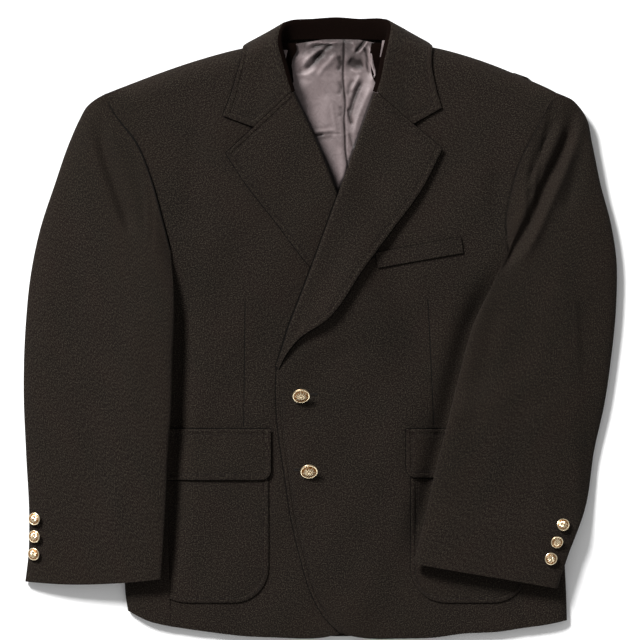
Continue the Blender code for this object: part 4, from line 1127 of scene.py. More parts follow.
def topsleeve_surface(word, side):
    """The outer surface of a topsleeve as a function of its columns and rows."""

    def place(column, row):
        u, height = column.T
        margin = SEAM_INSET / SLEEVE_LENGTH
        v = margin + row * (1 - 2 * margin) + (1 - row) * SLEEVE_HEAD_GAP / SLEEVE_LENGTH
        low, thin = sleeve_edge(side, "sleeve_inner", v)
        high, thick = sleeve_edge(side, "sleeve_outer", v)
        p = patch(*[side[edge].at for edge in ("armhole_seen", "cuff", "sleeve_inner", "sleeve_outer")], u, v)
        lap = HEAD_LAP * (1 - ease(v / LAP_DOWN)) * ease((u - LAP_FROM) / LAP_GROWS)
        p = p + lap[:, None] * (-side["sign"] * LAP_WAY[0], LAP_WAY[1])
        fold = edge_share(p)
        edge = mix(low + fold * thin, high + fold * thick, u)
        crown = mix(low + thin, high + thick, u)
        laid = edge + (crown - edge) * height + SEAM_INSET
        seam = front_top(p, side) + mix(SEAM_AT_PIT, SEAM_AT_SHOULDER, np.sqrt(u)) + SEAM_INSET
        seam = np.minimum(seam, laid + HEAD_PROUD)
        head = ease(v / HEAD_SHARE)
        blended = np.maximum(mix(seam, laid, head), edge + SEAM_INSET)
        least = rest(p, side) + head * LEAST_THICKNESS
        blended = soft_max(blended, least, SLEEVE_BLEND * head + LEAST_BLEND)
        laid = np.where((u > 0) & (u < 1), blended, laid)
        limit = mix(INNER_FOLD_LIMIT * thin + INNER_FOLD_LEAST, FOLD_LIMIT * thick, u)
        relief = limit * np.tanh(creases(p, SLEEVE_CREASES[word]) / limit)
        return np.column_stack([p, laid + relief * height])

    return place


def undersleeve_surface(side):
    first, pit = side["sleeve_inner"].at(UNDER_START), side["armpit"] + (side["sign"] * 2, -8)
    low = line(first, (first + pit) / 2 + (0, -6), pit)
    armhole = side["armhole_back"].at(np.arange(6) / 6) + (side["sign"], 0)
    high = line(pit, *armhole, side["sleeve_outer"].at(0.0))
    top = path((low, 0, 0.4), (high, 0.4, 1))

    def inner(share):
        return side["sleeve_inner"].at(mix(UNDER_START, 1, share))

    def place(column, row):
        u, height = column.T
        margin = SEAM_INSET / SLEEVE_LENGTH
        v = margin + row * (1 - 2 * margin)
        low_rest, thin = sleeve_edge(side, "sleeve_inner", mix(UNDER_START, 1, v))
        high_rest, thick = sleeve_edge(side, "sleeve_outer", v)
        p = patch(top, side["cuff"].at, inner, side["sleeve_outer"].at, u, v)
        edge = np.where(u < 0.5, low_rest + EDGE_SHARE * thin, high_rest + edge_share(p) * thick)
        return np.column_stack([p, edge + (rest(p, side) - edge) * height - FOLD_SEAM_GAP * (1 - height)])

    return place


# %% Sleeves
TOP_COLUMNS = ring_columns(TOP_POWER, 10, 24)
UNDER_COLUMNS = ring_columns(UNDER_POWER, 7, 14)
TOP_ROWS = np.concatenate([
    [0, 0.003, 0.007, 0.012, 0.018], np.linspace(0.025, 0.99, 165), [0.994, 0.997, 1.0]])
for word, side in SIDES:
    def head_line(places):
        return edge_only(*armhole_line(places[:, :2], word, side))

    cloth(f"topsleeve_{word}", TOP_COLUMNS, TOP_ROWS, topsleeve_surface(word, side), SLEEVE_WALL, -1,
          WOOL_SEAMED_AND_SHADED, "wool", f"topsleeve_{word}", even=False, lines=head_line)
    cloth(f"undersleeve_{word}", UNDER_COLUMNS, np.linspace(0, 1, 101), undersleeve_surface(side), SLEEVE_WALL,
          1, WOOL, "wool", f"undersleeve_{word}", even=False)

# %% [markdown]
# ## Lapels
# A lapel is the front's own cloth turned over at the roll line. Its net runs through the half turn of the
# roll and then lies back on the front, so it keeps the front's level plus a resting gap. Its free edge is
# stitched.

# %% Lapels
ROLL_TURNS = 10
LAPEL_RADII = {
    "right": Smooth((0.0, 0.5, 1.0), (1.9, 2.5, 3.0)),
    "left": Smooth((0.0, 0.3, 1.0), (1.9, 2.8, 3.0)),
}
# How far a lapel's free edge springs up from the front, mm, from its break to its tip
LAPEL_SPRING = {
    "right": Smooth((0.0, 0.3, 0.7, 1.0), (0.8, 1.4, 1.6, 1.2)),
    "left": Smooth((0.0, 0.08, 0.25, 0.6, 1.0), (0.0, 1.2, 5.5, 5.0, 1.6)),
}
LAPEL_LEAST = 26.0
FOOT_SINK, FOOT_SHARE = 2.6, 0.07
LAPEL_LENGTH = {"right": 280.0, "left": 370.0}
LENGTH_INSET, WIDTH_INSET = SEAM_INSET / 300, SEAM_INSET / 90
LEAST_ROLL, LEAF_FALL = 0.5, 1.6


def under_left_front(places):
    """The line maps of the right lapel, with a painted shadow line where the left front lies over it."""
    return edge_only(outside_of(places[:, :2], left_front_ring()), FOOT_SHADOW_LINES["front"])


def lapel(word, side):
    bottom = line(side["roll"].at(0.0), side["lapel_edge"].at(0.0))

    def place(column, row):
        turn, station = column[:, 0], column[:, 1:]
        v = np.clip(share_of(row, LAPEL_LENGTH[word], 0), LENGTH_INSET, 1 - LENGTH_INSET)
        width = np.linalg.norm(side["lapel_edge"].at(v) - side["roll"].at(v), axis=1)
        u = np.clip(share_of(station, width, LAPEL_LEAST), WIDTH_INSET, 1 - WIDTH_INSET)
        u = np.where(turn < ROLL_TURNS, WIDTH_INSET, u)
        p = patch(bottom.at, side["gorge"].at, side["roll"].at, side["lapel_edge"].at, u, v)
        grown = ROLL_FOOT + (1 - ROLL_FOOT) * ease(v / ROLL_GROWS)
        radius = LAPEL_RADII[word].at(v) * np.maximum(grown, LEAST_ROLL)
        sink = FOOT_SINK * (1 - ease(v / FOOT_SHARE))
        along = side["roll"].at(np.minimum(v + 0.01, 1)) - side["roll"].at(np.maximum(v - 0.01, 0))
        outward = np.column_stack([along[:, 1], -along[:, 0]]) / np.linalg.norm(along, axis=1)[:, None]
        outward = outward * -side["sign"]
        seat = front_top(p, side) - FRONT_WALL / 2 + SEAM_INSET
        angle = math.pi * (turn / ROLL_TURNS - 0.5)
        rolled = p + outward * ((radius * np.cos(angle) + LAPEL_SEAM) * grown)[:, None]
        lying = front_top(p, side) + LAPEL_REST + LAPEL_WALL / 2
        leaf = np.maximum(mix(seat + 2 * radius, lying, ease(u * LEAF_FALL)), lying)
        leaf += LAPEL_SPRING[word].at(v) * ease(u) ** 1.5
        from_edge = np.minimum((1 - u) * width, (1 - v) * LAPEL_LENGTH[word])
        leaf += edge_swell(from_edge) * ease((width - 20) / 20) - sink
        turned = turn < ROLL_TURNS
        return np.where(
            turned[:, None],
            np.column_stack([rolled, seat + radius + radius * np.sin(angle) - sink]),
            np.column_stack([p, leaf]),
        )

    leaf = stations(34, (0.0, 1.5, 4.0), EDGE_STEPS)
    columns = [(turn, 0.0, 0.0) for turn in range(ROLL_TURNS)] + [(ROLL_TURNS, *station) for station in leaf]
    rows = stations(100, (0.0, 2.0), EDGE_STEPS)
    marks = {"finish": WOOL} if side is LEFT else {"finish": WOOL_SEAMED_AND_SHADED, "lines": under_left_front}
    name = f"lapel_{word}"
    cloth(name, columns, rows, place, LAPEL_WALL, 0, slot="wool", node=name, **marks)
    last = ROLL_TURNS + len(leaf) - 1
    first_row, second_row = (EDGE_STEPS.index(step) for step in (STITCH_ROW, SECOND_ROW))
    top = len(rows) - 1
    lift, start = LAPEL_WALL / 2, ROLL_TURNS + 4
    stitches(f"{name}_stitching", [
        net_line(name, column=last - first_row, start=18, end=top - first_row, lift=lift),
        net_line(name, column=last - second_row, start=22, end=top - second_row, lift=lift),
        net_line(name, row=top - first_row, start=start, end=last - first_row, lift=lift),
        net_line(name, row=top - second_row, start=start, end=last - second_row, lift=lift),
    ])


for word, side in SIDES:
    lapel(word, side)

# %% [markdown]
# ## Collar
# The collar is one band. Its stand rises from the neck seam, rolls over, and the leaf falls outside and
# lies on the fronts; behind the neck the leaf is folded under the jacket. It is a loft through measured
# sections.

# %% Collar
COLLAR_CENTRE = ((21, 368.4), (21, 395), (21, 393), (21, 373), (21, 353))
COLLAR_HEIGHTS = (
    (28.6, 32.6, 35.4, 31.5, 31.5),
    (26.5, 33.5, 35.8, 31.5, 31.5),
    (22.5, 32.0, 35.2, 31.5, 31.5),
    (18.0, 30.0, 33.0, 30.5, 28.0),
    (11.0, 22.5, 21.5, 19.0, 15.5),
    (8.0, 12.0, 8.6, 5.5, 4.2),
    (6.8, 6.8, 2.3, 1.3, 1.1),
    (6.4, 5.4, 1.7, 1.1, 1.1),
)
COLLAR_FOOT, COLLAR_FALL, COLLAR_MIDDLE = 0.3, 0.42, 0.7
LEAF_WIDTH = 88.0
STATION_MM = 24.0


def leaf_clear(p):
    """The least height of the leaf's middle over the front it lies on, or none beyond the shoulder fold."""
    height = np.full(len(p), -10.0)
    for side, mine in ((RIGHT, p[:, 0] < COLLAR_CENTRE[0][0]), (LEFT, p[:, 0] >= COLLAR_CENTRE[0][0])):
        places = sampled(side["shoulder"], 16)
        places = places[places[:, 0].argsort()]
        fold = np.interp(p[:, 0], places[:, 0], places[:, 1], left=-1000.0, right=-1000.0)
        over = front_top(p - (0, 3.0), side) + LAID_OVER_GAP + COLLAR_WALL / 2
        height = np.where(mine & (p[:, 1] <= fold + 1.0), over, height)
    return height


plans = [*COLLAR_PLAN["right"], COLLAR_CENTRE, *reversed(COLLAR_PLAN["left"])]
heights = [*COLLAR_HEIGHTS, *reversed(COLLAR_HEIGHTS[:-1])]
last_station = len(plans) - 1
tracks = [Smooth(range(last_station + 1), [(*plan[i], height[i]) for plan, height in zip(plans, heights)])
          for i in range(5)]


def collar_place(column, row):
    a, b, c, d, e = [track.at(row) for track in tracks]
    upper = COLLAR_FALL - COLLAR_FOOT
    low = (column <= COLLAR_FOOT)[:, None]
    span = np.where(low, COLLAR_FOOT, upper)
    t = np.clip((column[:, None] - np.where(low, 0.0, COLLAR_FOOT)) / span, 0, 1)
    before, after = (b - a) / COLLAR_FOOT, (c - b) / upper
    middle = (before * upper + after * COLLAR_FOOT) / COLLAR_FALL
    rise = t * t * (3 - 2 * t)
    stand = (np.where(low, a, b) * (1 - rise) + np.where(low, b, c) * rise
             + np.where(low, before, middle) * t * (1 - t) ** 2 * span
             + np.where(low, middle, after) * t * t * (t - 1) * span)
    first = mix(c, d, np.clip((column - COLLAR_FALL) / (COLLAR_MIDDLE - COLLAR_FALL), 0, 1)[:, None])
    second = mix(d, e, np.clip((column - COLLAR_MIDDLE) / (1 - COLLAR_MIDDLE), 0, 1)[:, None])
    leaf = np.where((column > COLLAR_MIDDLE)[:, None], second, first)
    leaf[:, 2] = np.maximum(leaf[:, 2], leaf_clear(leaf[:, :2]))
    from_end = np.minimum(row, last_station - row) * STATION_MM
    leaf[:, 2] += edge_swell(np.minimum((1 - column) * LEAF_WIDTH, from_end)) * ease((leaf[:, 2] - 20) / 8)
    return np.where((column <= COLLAR_FALL)[:, None], stand, leaf)


fine_ends = [step / STATION_MM for step in EDGE_STEPS]
collar_rows = np.concatenate([
    fine_ends, np.linspace(0.7, last_station - 0.7, 130), [last_station - r for r in reversed(fine_ends)]])
leaf_end = [1 - step / LEAF_WIDTH for step in reversed(EDGE_STEPS)]
collar_columns = np.concatenate([
    np.linspace(0, COLLAR_FALL, 22), np.linspace(COLLAR_FALL, leaf_end[0], 24)[1:-1], leaf_end])
# The collar stand's first columns wear the melton finish, its near-black colour a painted shade.
SHADED_STAND_COLUMNS = 19
cloth("collar", collar_columns, collar_rows, collar_place, COLLAR_WALL, 0, WOOL, "wool", "collar",
      inner=(MELTON_SHADE, SHADED_STAND_COLUMNS))
first_row, second_row = (EDGE_STEPS.index(step) for step in (STITCH_ROW, SECOND_ROW))
top_column, top_row = len(collar_columns) - 1, len(collar_rows) - 1
leaf_start, leaf_run, lift = 24, 48, COLLAR_WALL / 2
collar_runs = []
for step in (first_row, second_row):
    for start, end in ((step, leaf_run), (top_row - leaf_run, top_row - step)):
        collar_runs.append(net_line("collar", column=top_column - step, start=start, end=end, lift=lift))
    for row in (step, top_row - step):
        collar_runs.append(net_line("collar", row=row, start=leaf_start, end=top_column - step, lift=lift))
stitches("collar_stitching", collar_runs)

# %% [markdown]
# ## Lining and neck facings
# The open neck shows the back's lining, a thin satin that falls into sharp small creases around its centre
# seam, and the wool facings that end beside the collar. The net is split along the seam so that the seam
# stays a line.

# %% Lining
LINING_SEAM = line(
    (30.5, 372), (30.4, 350), (29.4, 327), (30.6, 303), (32.4, 286), (31.0, 267), (32.0, 245), (32.6, 226),
    (35.4, 207), (38, 170), (40, 100),
)
LINING_LEFT = line((-43, 360), (-54, 320), (-46, 262), (-12, 168), (-10, 100))
LINING_RIGHT = line((79, 361), (92, 320), (88, 262), (62, 168), (52, 100))
LINING_CREASES = (
    (((-26, 352), (-12, 330), (-30, 300)), 2.0, 8.0, 2.0),
    (((62, 360), (68, 330), (60, 290)), 2.0, 7.0, 2.0),
    (((6, 354), (-2, 346), (-10, 337), (-20, 327)), -3.4, 3.6, 1.6),
    (((17, 362), (8, 357), (0, 350), (-8, 341)), -2.6, 2.0, 1.5),
    (((12, 358), (-4, 352), (-16, 342), (-24, 330)), 1.8, 2.4, 1.6),
    (((22, 352), (13, 340), (4, 331), (-4, 318)), 1.8, 3.0, 1.7),
    (((26, 365), (12, 362), (-6, 364), (-20, 358)), 1.6, 1.8, 1.5),
    (((20, 360), (6, 361), (-14, 357)), -1.4, 1.5, 1.5),
    (((60, 372), (54, 362), (44, 350)), -3.8, 1.3, 1.4),
    (((63, 371), (57, 359), (47, 348)), 2.2, 1.6, 1.5),
    (((40, 366), (44, 358), (42, 350)), 1.2, 2.0, 1.6),
    (((36, 343), (46, 336), (57, 337)), -3.0, 6.5, 1.8),
    (((38, 330), (47, 326), (56, 329)), 1.3, 3.0, 1.7),
    (((60, 364), (65, 349), (66, 336), (70, 322), (62, 312)), 2.2, 2.0, 1.6),
    (((56, 360), (60, 345), (61, 332), (64, 320)), -2.2, 1.5, 1.6),
    (((56, 318), (48, 304), (42, 288), (38, 270)), -3.4, 2.6, 1.6),
    (((44, 318), (38, 308), (36, 294)), -1.6, 2.2, 1.6),
    (((52, 324), (45, 312), (39, 300)), 1.8, 2.4, 1.6),
    (((66, 310), (57, 290), (48, 268), (42, 240)), 1.6, 3.4, 1.8),
    (((36, 282), (38, 270), (41, 258)), -3.2, 2.2, 1.5),
    (((37, 250), (40, 240), (42, 228)), -1.6, 2.0, 1.6),
    (((-33, 322), (-14, 324), (-2, 332)), 1.4, 3.0, 1.6),
    (((-28, 330), (-20, 318), (-10, 314)), -1.2, 3.0, 1.7),
    (((-14, 245.0), (-2, 246), (6, 247)), -3.0, 1.2, 1.4),
    (((-4, 246.2), (14, 248), (30, 247.5)), -1.0, 1.1, 1.5),
    (((-12, 250), (6, 251.5), (22, 253)), 1.0, 2.0, 1.6),
    (((-6, 240), (6, 242), (18, 244)), -1.0, 3.5, 1.8),
    (((12, 300), (6, 272), (8, 252)), 0.9, 9.0, 2.0),
    (((23, 348), (26, 338), (22, 326)), -2.2, 2.4, 1.6),
    (((24, 316), (27, 306), (23, 296)), -2.0, 2.0, 1.6),
    (((25, 284), (28, 276), (25, 268)), -1.4, 1.8, 1.6),
    (((14, 292), (18, 262), (22, 240)), 0.8, 1.6, 1.6),
    (((24, 235), (29, 205), (32, 180)), 1.0, 5.0, 2.0),
    (((2, 225), (12, 200), (20, 178)), -0.9, 5.0, 2.0),
)
LINING_RISE, LINING_LEAST, HALF_LINING = 2.4, 3.4, 45.0
# Painted shade on the satin: its share below the collar, and its share and width in mm under each rolled lapel
# edge
NECK_PAINTED_SHADE, ROLL_PAINTED_SHADE, ROLL_SHADE_WIDE = 0.42, 0.9, 2.2
NECK_TOP, SEAM_TOP, TOP_FADE = 369, 366, 6.0
SEAM_DEEP, SEAM_WIDE = 2.2, 0.9


def lining_level(p):
    corner = 2.2 * ease((np.abs(p[:, 0] - 20) - 40) / 20) * ease((p[:, 1] - 345) / 15)
    return body_bottom(p) + BODY_WALL + LAID_OVER_GAP + LINING_WALL + corner


def lining_place(column, row):
    half = column[:, 0] > 0
    u = share_of(column[:, 1:], HALF_LINING, 0)
    seam, left, right = LINING_SEAM.at(row), LINING_LEFT.at(row), LINING_RIGHT.at(row)
    p = np.where(half[:, None], mix(seam, right, u[:, None]), mix(left, seam, u[:, None]))
    rise = (LINING_RISE + creases(p, LINING_CREASES)) * ease((NECK_TOP - p[:, 1]) / TOP_FADE)
    off = np.where(half, u, 1 - u) * HALF_LINING
    ditch = SEAM_DEEP * np.exp(-((off / SEAM_WIDE) ** 1.6)) * ease((SEAM_TOP - p[:, 1]) / TOP_FADE)
    return np.column_stack([p, np.maximum(lining_level(p) + rise - ditch, LINING_LEAST)])


def lining_shade_map(places):
    """Crease height and painted shade of the lining for the satin's tone: the centre seam counts as a trough,
    and painted shade lies below the collar and under each rolled lapel edge.
    """
    p = places[:, :2]
    # Painted shade towards the collar, along the centre seam as a trough, and under each rolled lapel edge
    lean = NECK_PAINTED_SHADE * ease((p[:, 1] - 318) / 45.0)
    seam = -2.6 * np.exp(-((near_line(p, sampled(LINING_SEAM, 40))[0] / 1.1) ** 2))
    under = np.minimum(*[near_line(p, roll_edge(side))[0] for word, side in SIDES])
    lean = lean + ROLL_PAINTED_SHADE * np.exp(-((under / ROLL_SHADE_WIDE) ** 2))
    none = np.zeros(len(p))
    return np.stack([creases(p, LINING_CREASES) + seam, lean, none, none], axis=1)


left_half = [(0.0, *s) for s in stations(40, (0.0,), (0.35, 0.9, 1.6, 3.0))]
right_half = [(1.0, *s) for s in stations(40, (0.0, 0.35, 0.9, 1.6, 3.0), (0.0,))]
cloth("back_lining", np.array(left_half + right_half), np.linspace(0.0, 1, 191), lining_place, LINING_WALL,
      -1, SATIN, "lining", "back_lining", even=False, lines=lining_shade_map)

# %% Facings in the neck
FACINGS = {
    "right": (line((-62, 310), (-63, 340), (-52, 362)),
              line((-33.5, 313), (-35, 327), (-36, 336), (-34, 345), (-29.5, 353), (-31, 363))),
    "left": (line((72, 309), (66, 322), (64.5, 333), (63.5, 350), (65.5, 363)),
             line((96, 310), (97, 340), (88, 363))),
}
FACING_LIFT, FACING_WALL, GLIMPSE_LIFT, GLIMPSE_WALL = 5.0, 1.2, 7.0, 0.6
GLIMPSES = {
    "right": ((-56.0, 340), (-41.0, 354)),
    "left": ((76.0, 345), (92.0, 366)),
}
for word, (low, high) in FACINGS.items():
    def facing_place(column, row):
        p = mix(low.at(row), high.at(row), column[:, None])
        wave = 0.5 * np.sin(row * 9 + column * 3)
        return np.column_stack([p, lining_level(p) + FACING_LIFT + wave * ease((360 - p[:, 1]) / 20)])

    # The facings wear the melton finish, its near-black colour a painted shade.
    cloth(f"neck_facing_{word}", np.linspace(0, 1, 15), np.linspace(0, 1, 27), facing_place, FACING_WALL, 0,
          MELTON_SHADE, "wool", None)
for word, ((x0, y0), (x1, y1)) in GLIMPSES.items():
    def glimpse_place(column, row):
        p = np.column_stack([mix(x0, x1, column * 0.8 + row * 0.2), mix(y0, y1, row)])
        return np.column_stack([p, lining_level(p) + GLIMPSE_LIFT + 0.6 * np.sin(column * math.pi)])

    cloth(f"neck_lining_fold_{word}", np.linspace(0, 1, 9), np.linspace(0, 1, 15), glimpse_place, GLIMPSE_WALL,
          0, SATIN, "lining", None, lines=lambda places: np.zeros((len(places), 4)))

# %% [markdown]
# ## Pockets
# Patch pockets with flaps are sewn on the fronts, and a slanted welt closes the breast pocket. Each takes
# its level from the front below it. The rounded lower corners come from bending a square net to the
# outline.

# %% Pocket pieces
FLAP_SPRING = 1.2


def pocket_outline(shape):
    """The outline's four sides for a patch: bottom and top run across, left and right run up."""
    x0, x1, y0, y1, r = shape["left"], shape["right"], shape["bottom"], shape["top"], shape["corner"]
    turn = np.radians(np.linspace(45, 90, 7))
    low_right = np.column_stack([x1 - r + r * np.cos(turn), y0 + r - r * np.sin(turn)])
    low_left = np.column_stack([x0 + r - r * np.cos(turn), y0 + r - r * np.sin(turn)])
    rise = np.radians(np.linspace(45, 0, 7))
    up_right = np.column_stack([x1 - r + r * np.cos(rise), y0 + r - r * np.sin(rise)])
    up_left = np.column_stack([x0 + r - r * np.cos(rise), y0 + r - r * np.sin(rise)])

    def run(points):
        places = np.array(points)
        length = np.concatenate([[0], np.cumsum(np.linalg.norm(np.diff(places, axis=0), axis=1))])
        knots = length / length[-1]
        return lambda share: np.column_stack([np.interp(share, knots, places[:, k]) for k in range(2)])

    bottom = run([*low_left, *low_right[::-1]])
    return bottom, run([(x0, y1), (x1, y1)]), run([*up_left, (x0, y1)]), run([*up_right, (x1, y1)])


def outline_distance(p, shape):
    """How far inside a pocket's free outline points are; the sewn or hinged top doesn't count."""
    r = shape["corner"]
    x = np.maximum(shape["left"] + r - p[:, 0], p[:, 0] - shape["right"] + r)
    y = shape["bottom"] + r - p[:, 1]
    outside = np.hypot(np.maximum(x, 0), np.maximum(y, 0))
    return r - np.where((x > 0) & (y > 0), outside, np.maximum(x, y))


def pocket_piece(name, word, side, shape, lift, top_rows):
    width, height = shape["right"] - shape["left"], shape["top"] - shape["bottom"]
    outline = pocket_outline(shape)

    def place(column, row):
        u, v = share_of(column, width, 0), share_of(row, height, 0)
        p = patch(*outline, u, v)
        inside = outline_distance(p, shape)
        relief = edge_swell(inside) + (edge_swell(shape["top"] - p[:, 1]) * 0.7 if top_rows else 0.0)
        spring = FLAP_SPRING * ease((shape["top"] - 12 - p[:, 1]) / 45.0) if top_rows else 0.0
        return np.column_stack([p, front_top(p, side) + lift + relief + spring])

    count = max(6, round((height - 26) / 3.6))
    rows = stations(count, EDGE_STEPS, EDGE_STEPS if top_rows else (0.0, 1.0))
    columns = stations(34, EDGE_STEPS, EDGE_STEPS)
    flap = rounded(POCKETS[word]["flap"])

    # The patch takes a painted shadow line where the flap lies over it.
    def under_flap(places):
        return edge_only(outside_of(places[:, :2], flap), FOOT_SHADOW_LINES["flap"])

    marks = {"finish": WOOL} if top_rows else {"finish": WOOL_SEAMED_AND_SHADED, "lines": under_flap}
    cloth(name, columns, rows, place, POCKET_WALL, 1, slot="wool", node=name, **marks)
    runs = []
    right_edge, top_edge = len(columns) - 1, len(rows) - 1
    ends = (top_edge - 4, 4)
    for step in (EDGE_STEPS.index(STITCH_ROW), EDGE_STEPS.index(SECOND_ROW)):
        for column in (step, right_edge - step):
            runs.append(net_line(name, column=column, start=step, end=ends[0], lift=POCKET_WALL))
        runs.append(net_line(name, row=step, start=step, end=right_edge - step, lift=POCKET_WALL))
        if top_rows:
            row = top_edge - step
            runs.append(net_line(name, row=row, start=step, end=right_edge - step, lift=POCKET_WALL))
    stitches(f"{name}_stitching", runs)


for word, side in SIDES:
    pocket_piece(f"patch_pocket_{word}", word, side, POCKETS[word]["patch"], RESTING_GAP, False)
    pocket_piece(f"pocket_flap_{word}", word, side, POCKETS[word]["flap"], RESTING_GAP * 2 + POCKET_WALL, True)

# %% Breast welt
WELT_BOTTOM, WELT_TOP = line((73, 77), (182, 96)), line((70, 96), (179, 116))
WELT_LENGTH, WELT_HEIGHT, WELT_WALL, WELT_ROW = 110.0, 19.5, 1.4, 3.0


def welt_place(column, row):
    u, v = share_of(column, WELT_LENGTH, 0), share_of(row, WELT_HEIGHT, 0)
    p = mix(WELT_BOTTOM.at(u), WELT_TOP.at(u), v[:, None])
    from_edge = np.minimum((1 - v) * WELT_HEIGHT, (1 - u) * WELT_LENGTH)
    groove = 0.3 * np.exp(-(((from_edge - WELT_ROW) / 0.6) ** 2))
    return np.column_stack([p, front_top(p, LEFT) + LAID_OVER_GAP - groove])


welt_steps = (0.0, 0.7, 1.6, 2.4, 3.0, 3.6, 4.4, 6.0)
cloth("breast_welt", stations(34, (0.0, 0.8, 2.0), welt_steps), stations(5, (0.0, 0.8, 2.0), welt_steps),
      welt_place, WELT_WALL, 1, WOOL, "wool", "breast_welt")

# %% [markdown]
# ## Buttons
# Blazer buttons are stamped brass shells on a shank. The front ones are 23 mm across and tip a little in
# their holes, the cuff ones 16 mm. A turned profile gives the shell, and a plain stamped rosette inside a
# rope rim stands for the raised motif. The net of a button is a grid wrapped into rings, with its seam and
# poles merged.

# %% Button maker
FRONT_DIAMETER, CUFF_DIAMETER = 23.0, 16.0
BUTTON_PROFILE = (
    (0.0, 0.17), (0.1, 0.167), (0.2, 0.155), (0.28, 0.134), (0.37, 0.105), (0.41, 0.086), (0.44, 0.082),
    (0.47, 0.075), (0.495, 0.06), (0.5, 0.04), (0.5, 0.02), (0.49, 0.0), (0.34, -0.05), (0.12, -0.065),
    (0.1, -0.08), (0.1, -0.235), (0.0, -0.24),
)
FACE_END = 8
ROPE_HIGH, BACK_RELIEF = 0.022, 0.6
FACE_RINGS = 30
RING_STEPS = 96
PETALS = 12
ROPE_TURNS = 30


def rosette(radius, angle):
    """Stamped relief of a button's face, as a share of its diameter."""
    petal = np.clip(np.cos(PETALS * angle / 2) ** 2 - (radius - 0.19) ** 2 / 0.02, 0, 1)
    petal = petal * ((radius > 0.07) & (radius < 0.34))
    vein = 0.35 * np.exp(-((np.sin(PETALS * angle / 2) / 0.16) ** 2)) * ((radius > 0.1) & (radius < 0.3))
    boss = np.exp(-((radius / 0.055) ** 4))
    beads = np.exp(-(((radius - 0.345) / 0.012) ** 2)) * 0.5 * (1 + np.cos(angle * 40)) * 0.7
    rope = np.exp(-(((radius - 0.45) / 0.028) ** 2)) * (0.75 + 0.25 * np.cos(ROPE_TURNS * angle + radius * 90))
    return 0.020 * petal + 0.008 * vein + 0.022 * boss + 0.012 * beads + ROPE_HIGH * rope


def button(name, place, normal, diameter):
    mesh = bpy.data.meshes.new(name)
    shape = bmesh.new()
    face = np.linspace(0, FACE_END - 1, FACE_RINGS)
    rings = np.concatenate([face, np.arange(FACE_END, len(BUTTON_PROFILE))])
    bmesh.ops.create_grid(shape, x_segments=RING_STEPS, y_segments=len(rings) - 1, size=0.5)
    profile = np.array(BUTTON_PROFILE)
    knots = np.arange(len(profile))
    relief_layer = shape.verts.layers.float.new("Relief")
    for vertex in shape.verts:
        ring = rings[round((vertex.co.y + 0.5) * (len(rings) - 1))]
        angle = (vertex.co.x + 0.5) * 2 * math.pi
        radius = np.interp(ring, knots, profile[:, 0])
        height = np.interp(ring, knots, profile[:, 1])
        stamped = float(rosette(radius, angle)) if ring <= FACE_END else 0.0
        vertex[relief_layer] = min(stamped / ROPE_HIGH, 1.0) if ring <= FACE_END else BACK_RELIEF
        shaped = Vector((radius * math.cos(angle), radius * math.sin(angle), height + stamped))
        vertex.co = shaped * diameter * MM
    bmesh.ops.remove_doubles(shape, verts=shape.verts[:], dist=0.00002)
    bmesh.ops.recalc_face_normals(shape, faces=shape.faces[:])
    turn = normal.to_track_quat("Z", "Y").to_matrix().to_4x4()
    shape.transform(Matrix.Translation((place - Vector(PLAN_MIDDLE)) * MM) @ turn)
    shape.to_mesh(mesh)
    shape.free()
    placed(name, mesh, BRASS, name)
    print(f"{name}: {len(mesh.polygons)} faces")


def seat_height(lean, diameter):
    """How far a button's middle stands off the cloth for its rim and shank to clear it."""
    tip = math.sqrt(max(1 - lean ** 2, 0.0))
    return max(0.5 * diameter * tip, 0.24 * diameter * lean + 0.1 * diameter * tip) + RESTING_GAP


# %% Front and cuff buttons
FRONT_BUTTONS = ((-24, -85), (-14, -181))
FRONT_LEAN = Vector((0.05, -0.66, 0.75)).normalized()
for number, (x, y) in enumerate(FRONT_BUTTONS, 1):
    level = float(body_top(np.array([(x, y)]))[0] + overlap_rise(np.array([(x, y)]))[0])
    middle = Vector((x, y, level + seat_height(FRONT_LEAN.z, FRONT_DIAMETER)))
    button(f"front_button_{number}", middle, FRONT_LEAN, FRONT_DIAMETER)

CUFF_BUTTONS = {
    "right": (((-360, -242), (-0.10, 0.05, 0.0)), ((-361, -264), (-0.14, -0.02, 0.0)),
              ((-362, -286), (-0.12, -0.10, 0.0))),
    "left": (((305, -248), (0.02, 0.05, 0.0)), ((298, -271), (0.10, -0.30, 0.0)),
             ((289, -291), (0.0, -0.12, 0.0))),
}
for word, side in SIDES:
    net = NETS[f"topsleeve_{word}"]
    normals = net_normals(net)
    for number, (place, leaning) in enumerate(CUFF_BUTTONS[word], 1):
        target = (np.array(place) - PLAN_MIDDLE[:2]) * MM
        away = np.linalg.norm(net[..., :2] - target, axis=2)
        row, column = np.unravel_index(away.argmin(), net.shape[:2])
        foot, cloth_normal = Vector(net[row, column] / MM + PLAN_MIDDLE), Vector(normals[row, column])
        normal = (cloth_normal + Vector(leaning)).normalized()
        middle = foot + cloth_normal * seat_height(normal.dot(cloth_normal), CUFF_DIAMETER)
        button(f"cuff_button_{word}_{number}", middle, normal, CUFF_DIAMETER)

# %% [markdown]
# ## Buttonholes
# A worked hole is a slit edged with close thread. The button sits at its inner end, so only the end towards
# the front edge shows. A ring of cord pressed flat makes the worked edge, with the narrow slit left open
# inside it.

# %% Buttonholes
HOLE_LENGTH, HOLE_WIDTH = 24.0, 1.9
CORD_RADIUS, CORD_RIPPLE, CORD_TURNS, CORD_RISE, CORD_LIFT = 0.55, 0.08, 24, 0.45, 0.25
ROUND_ENDS = 0.2


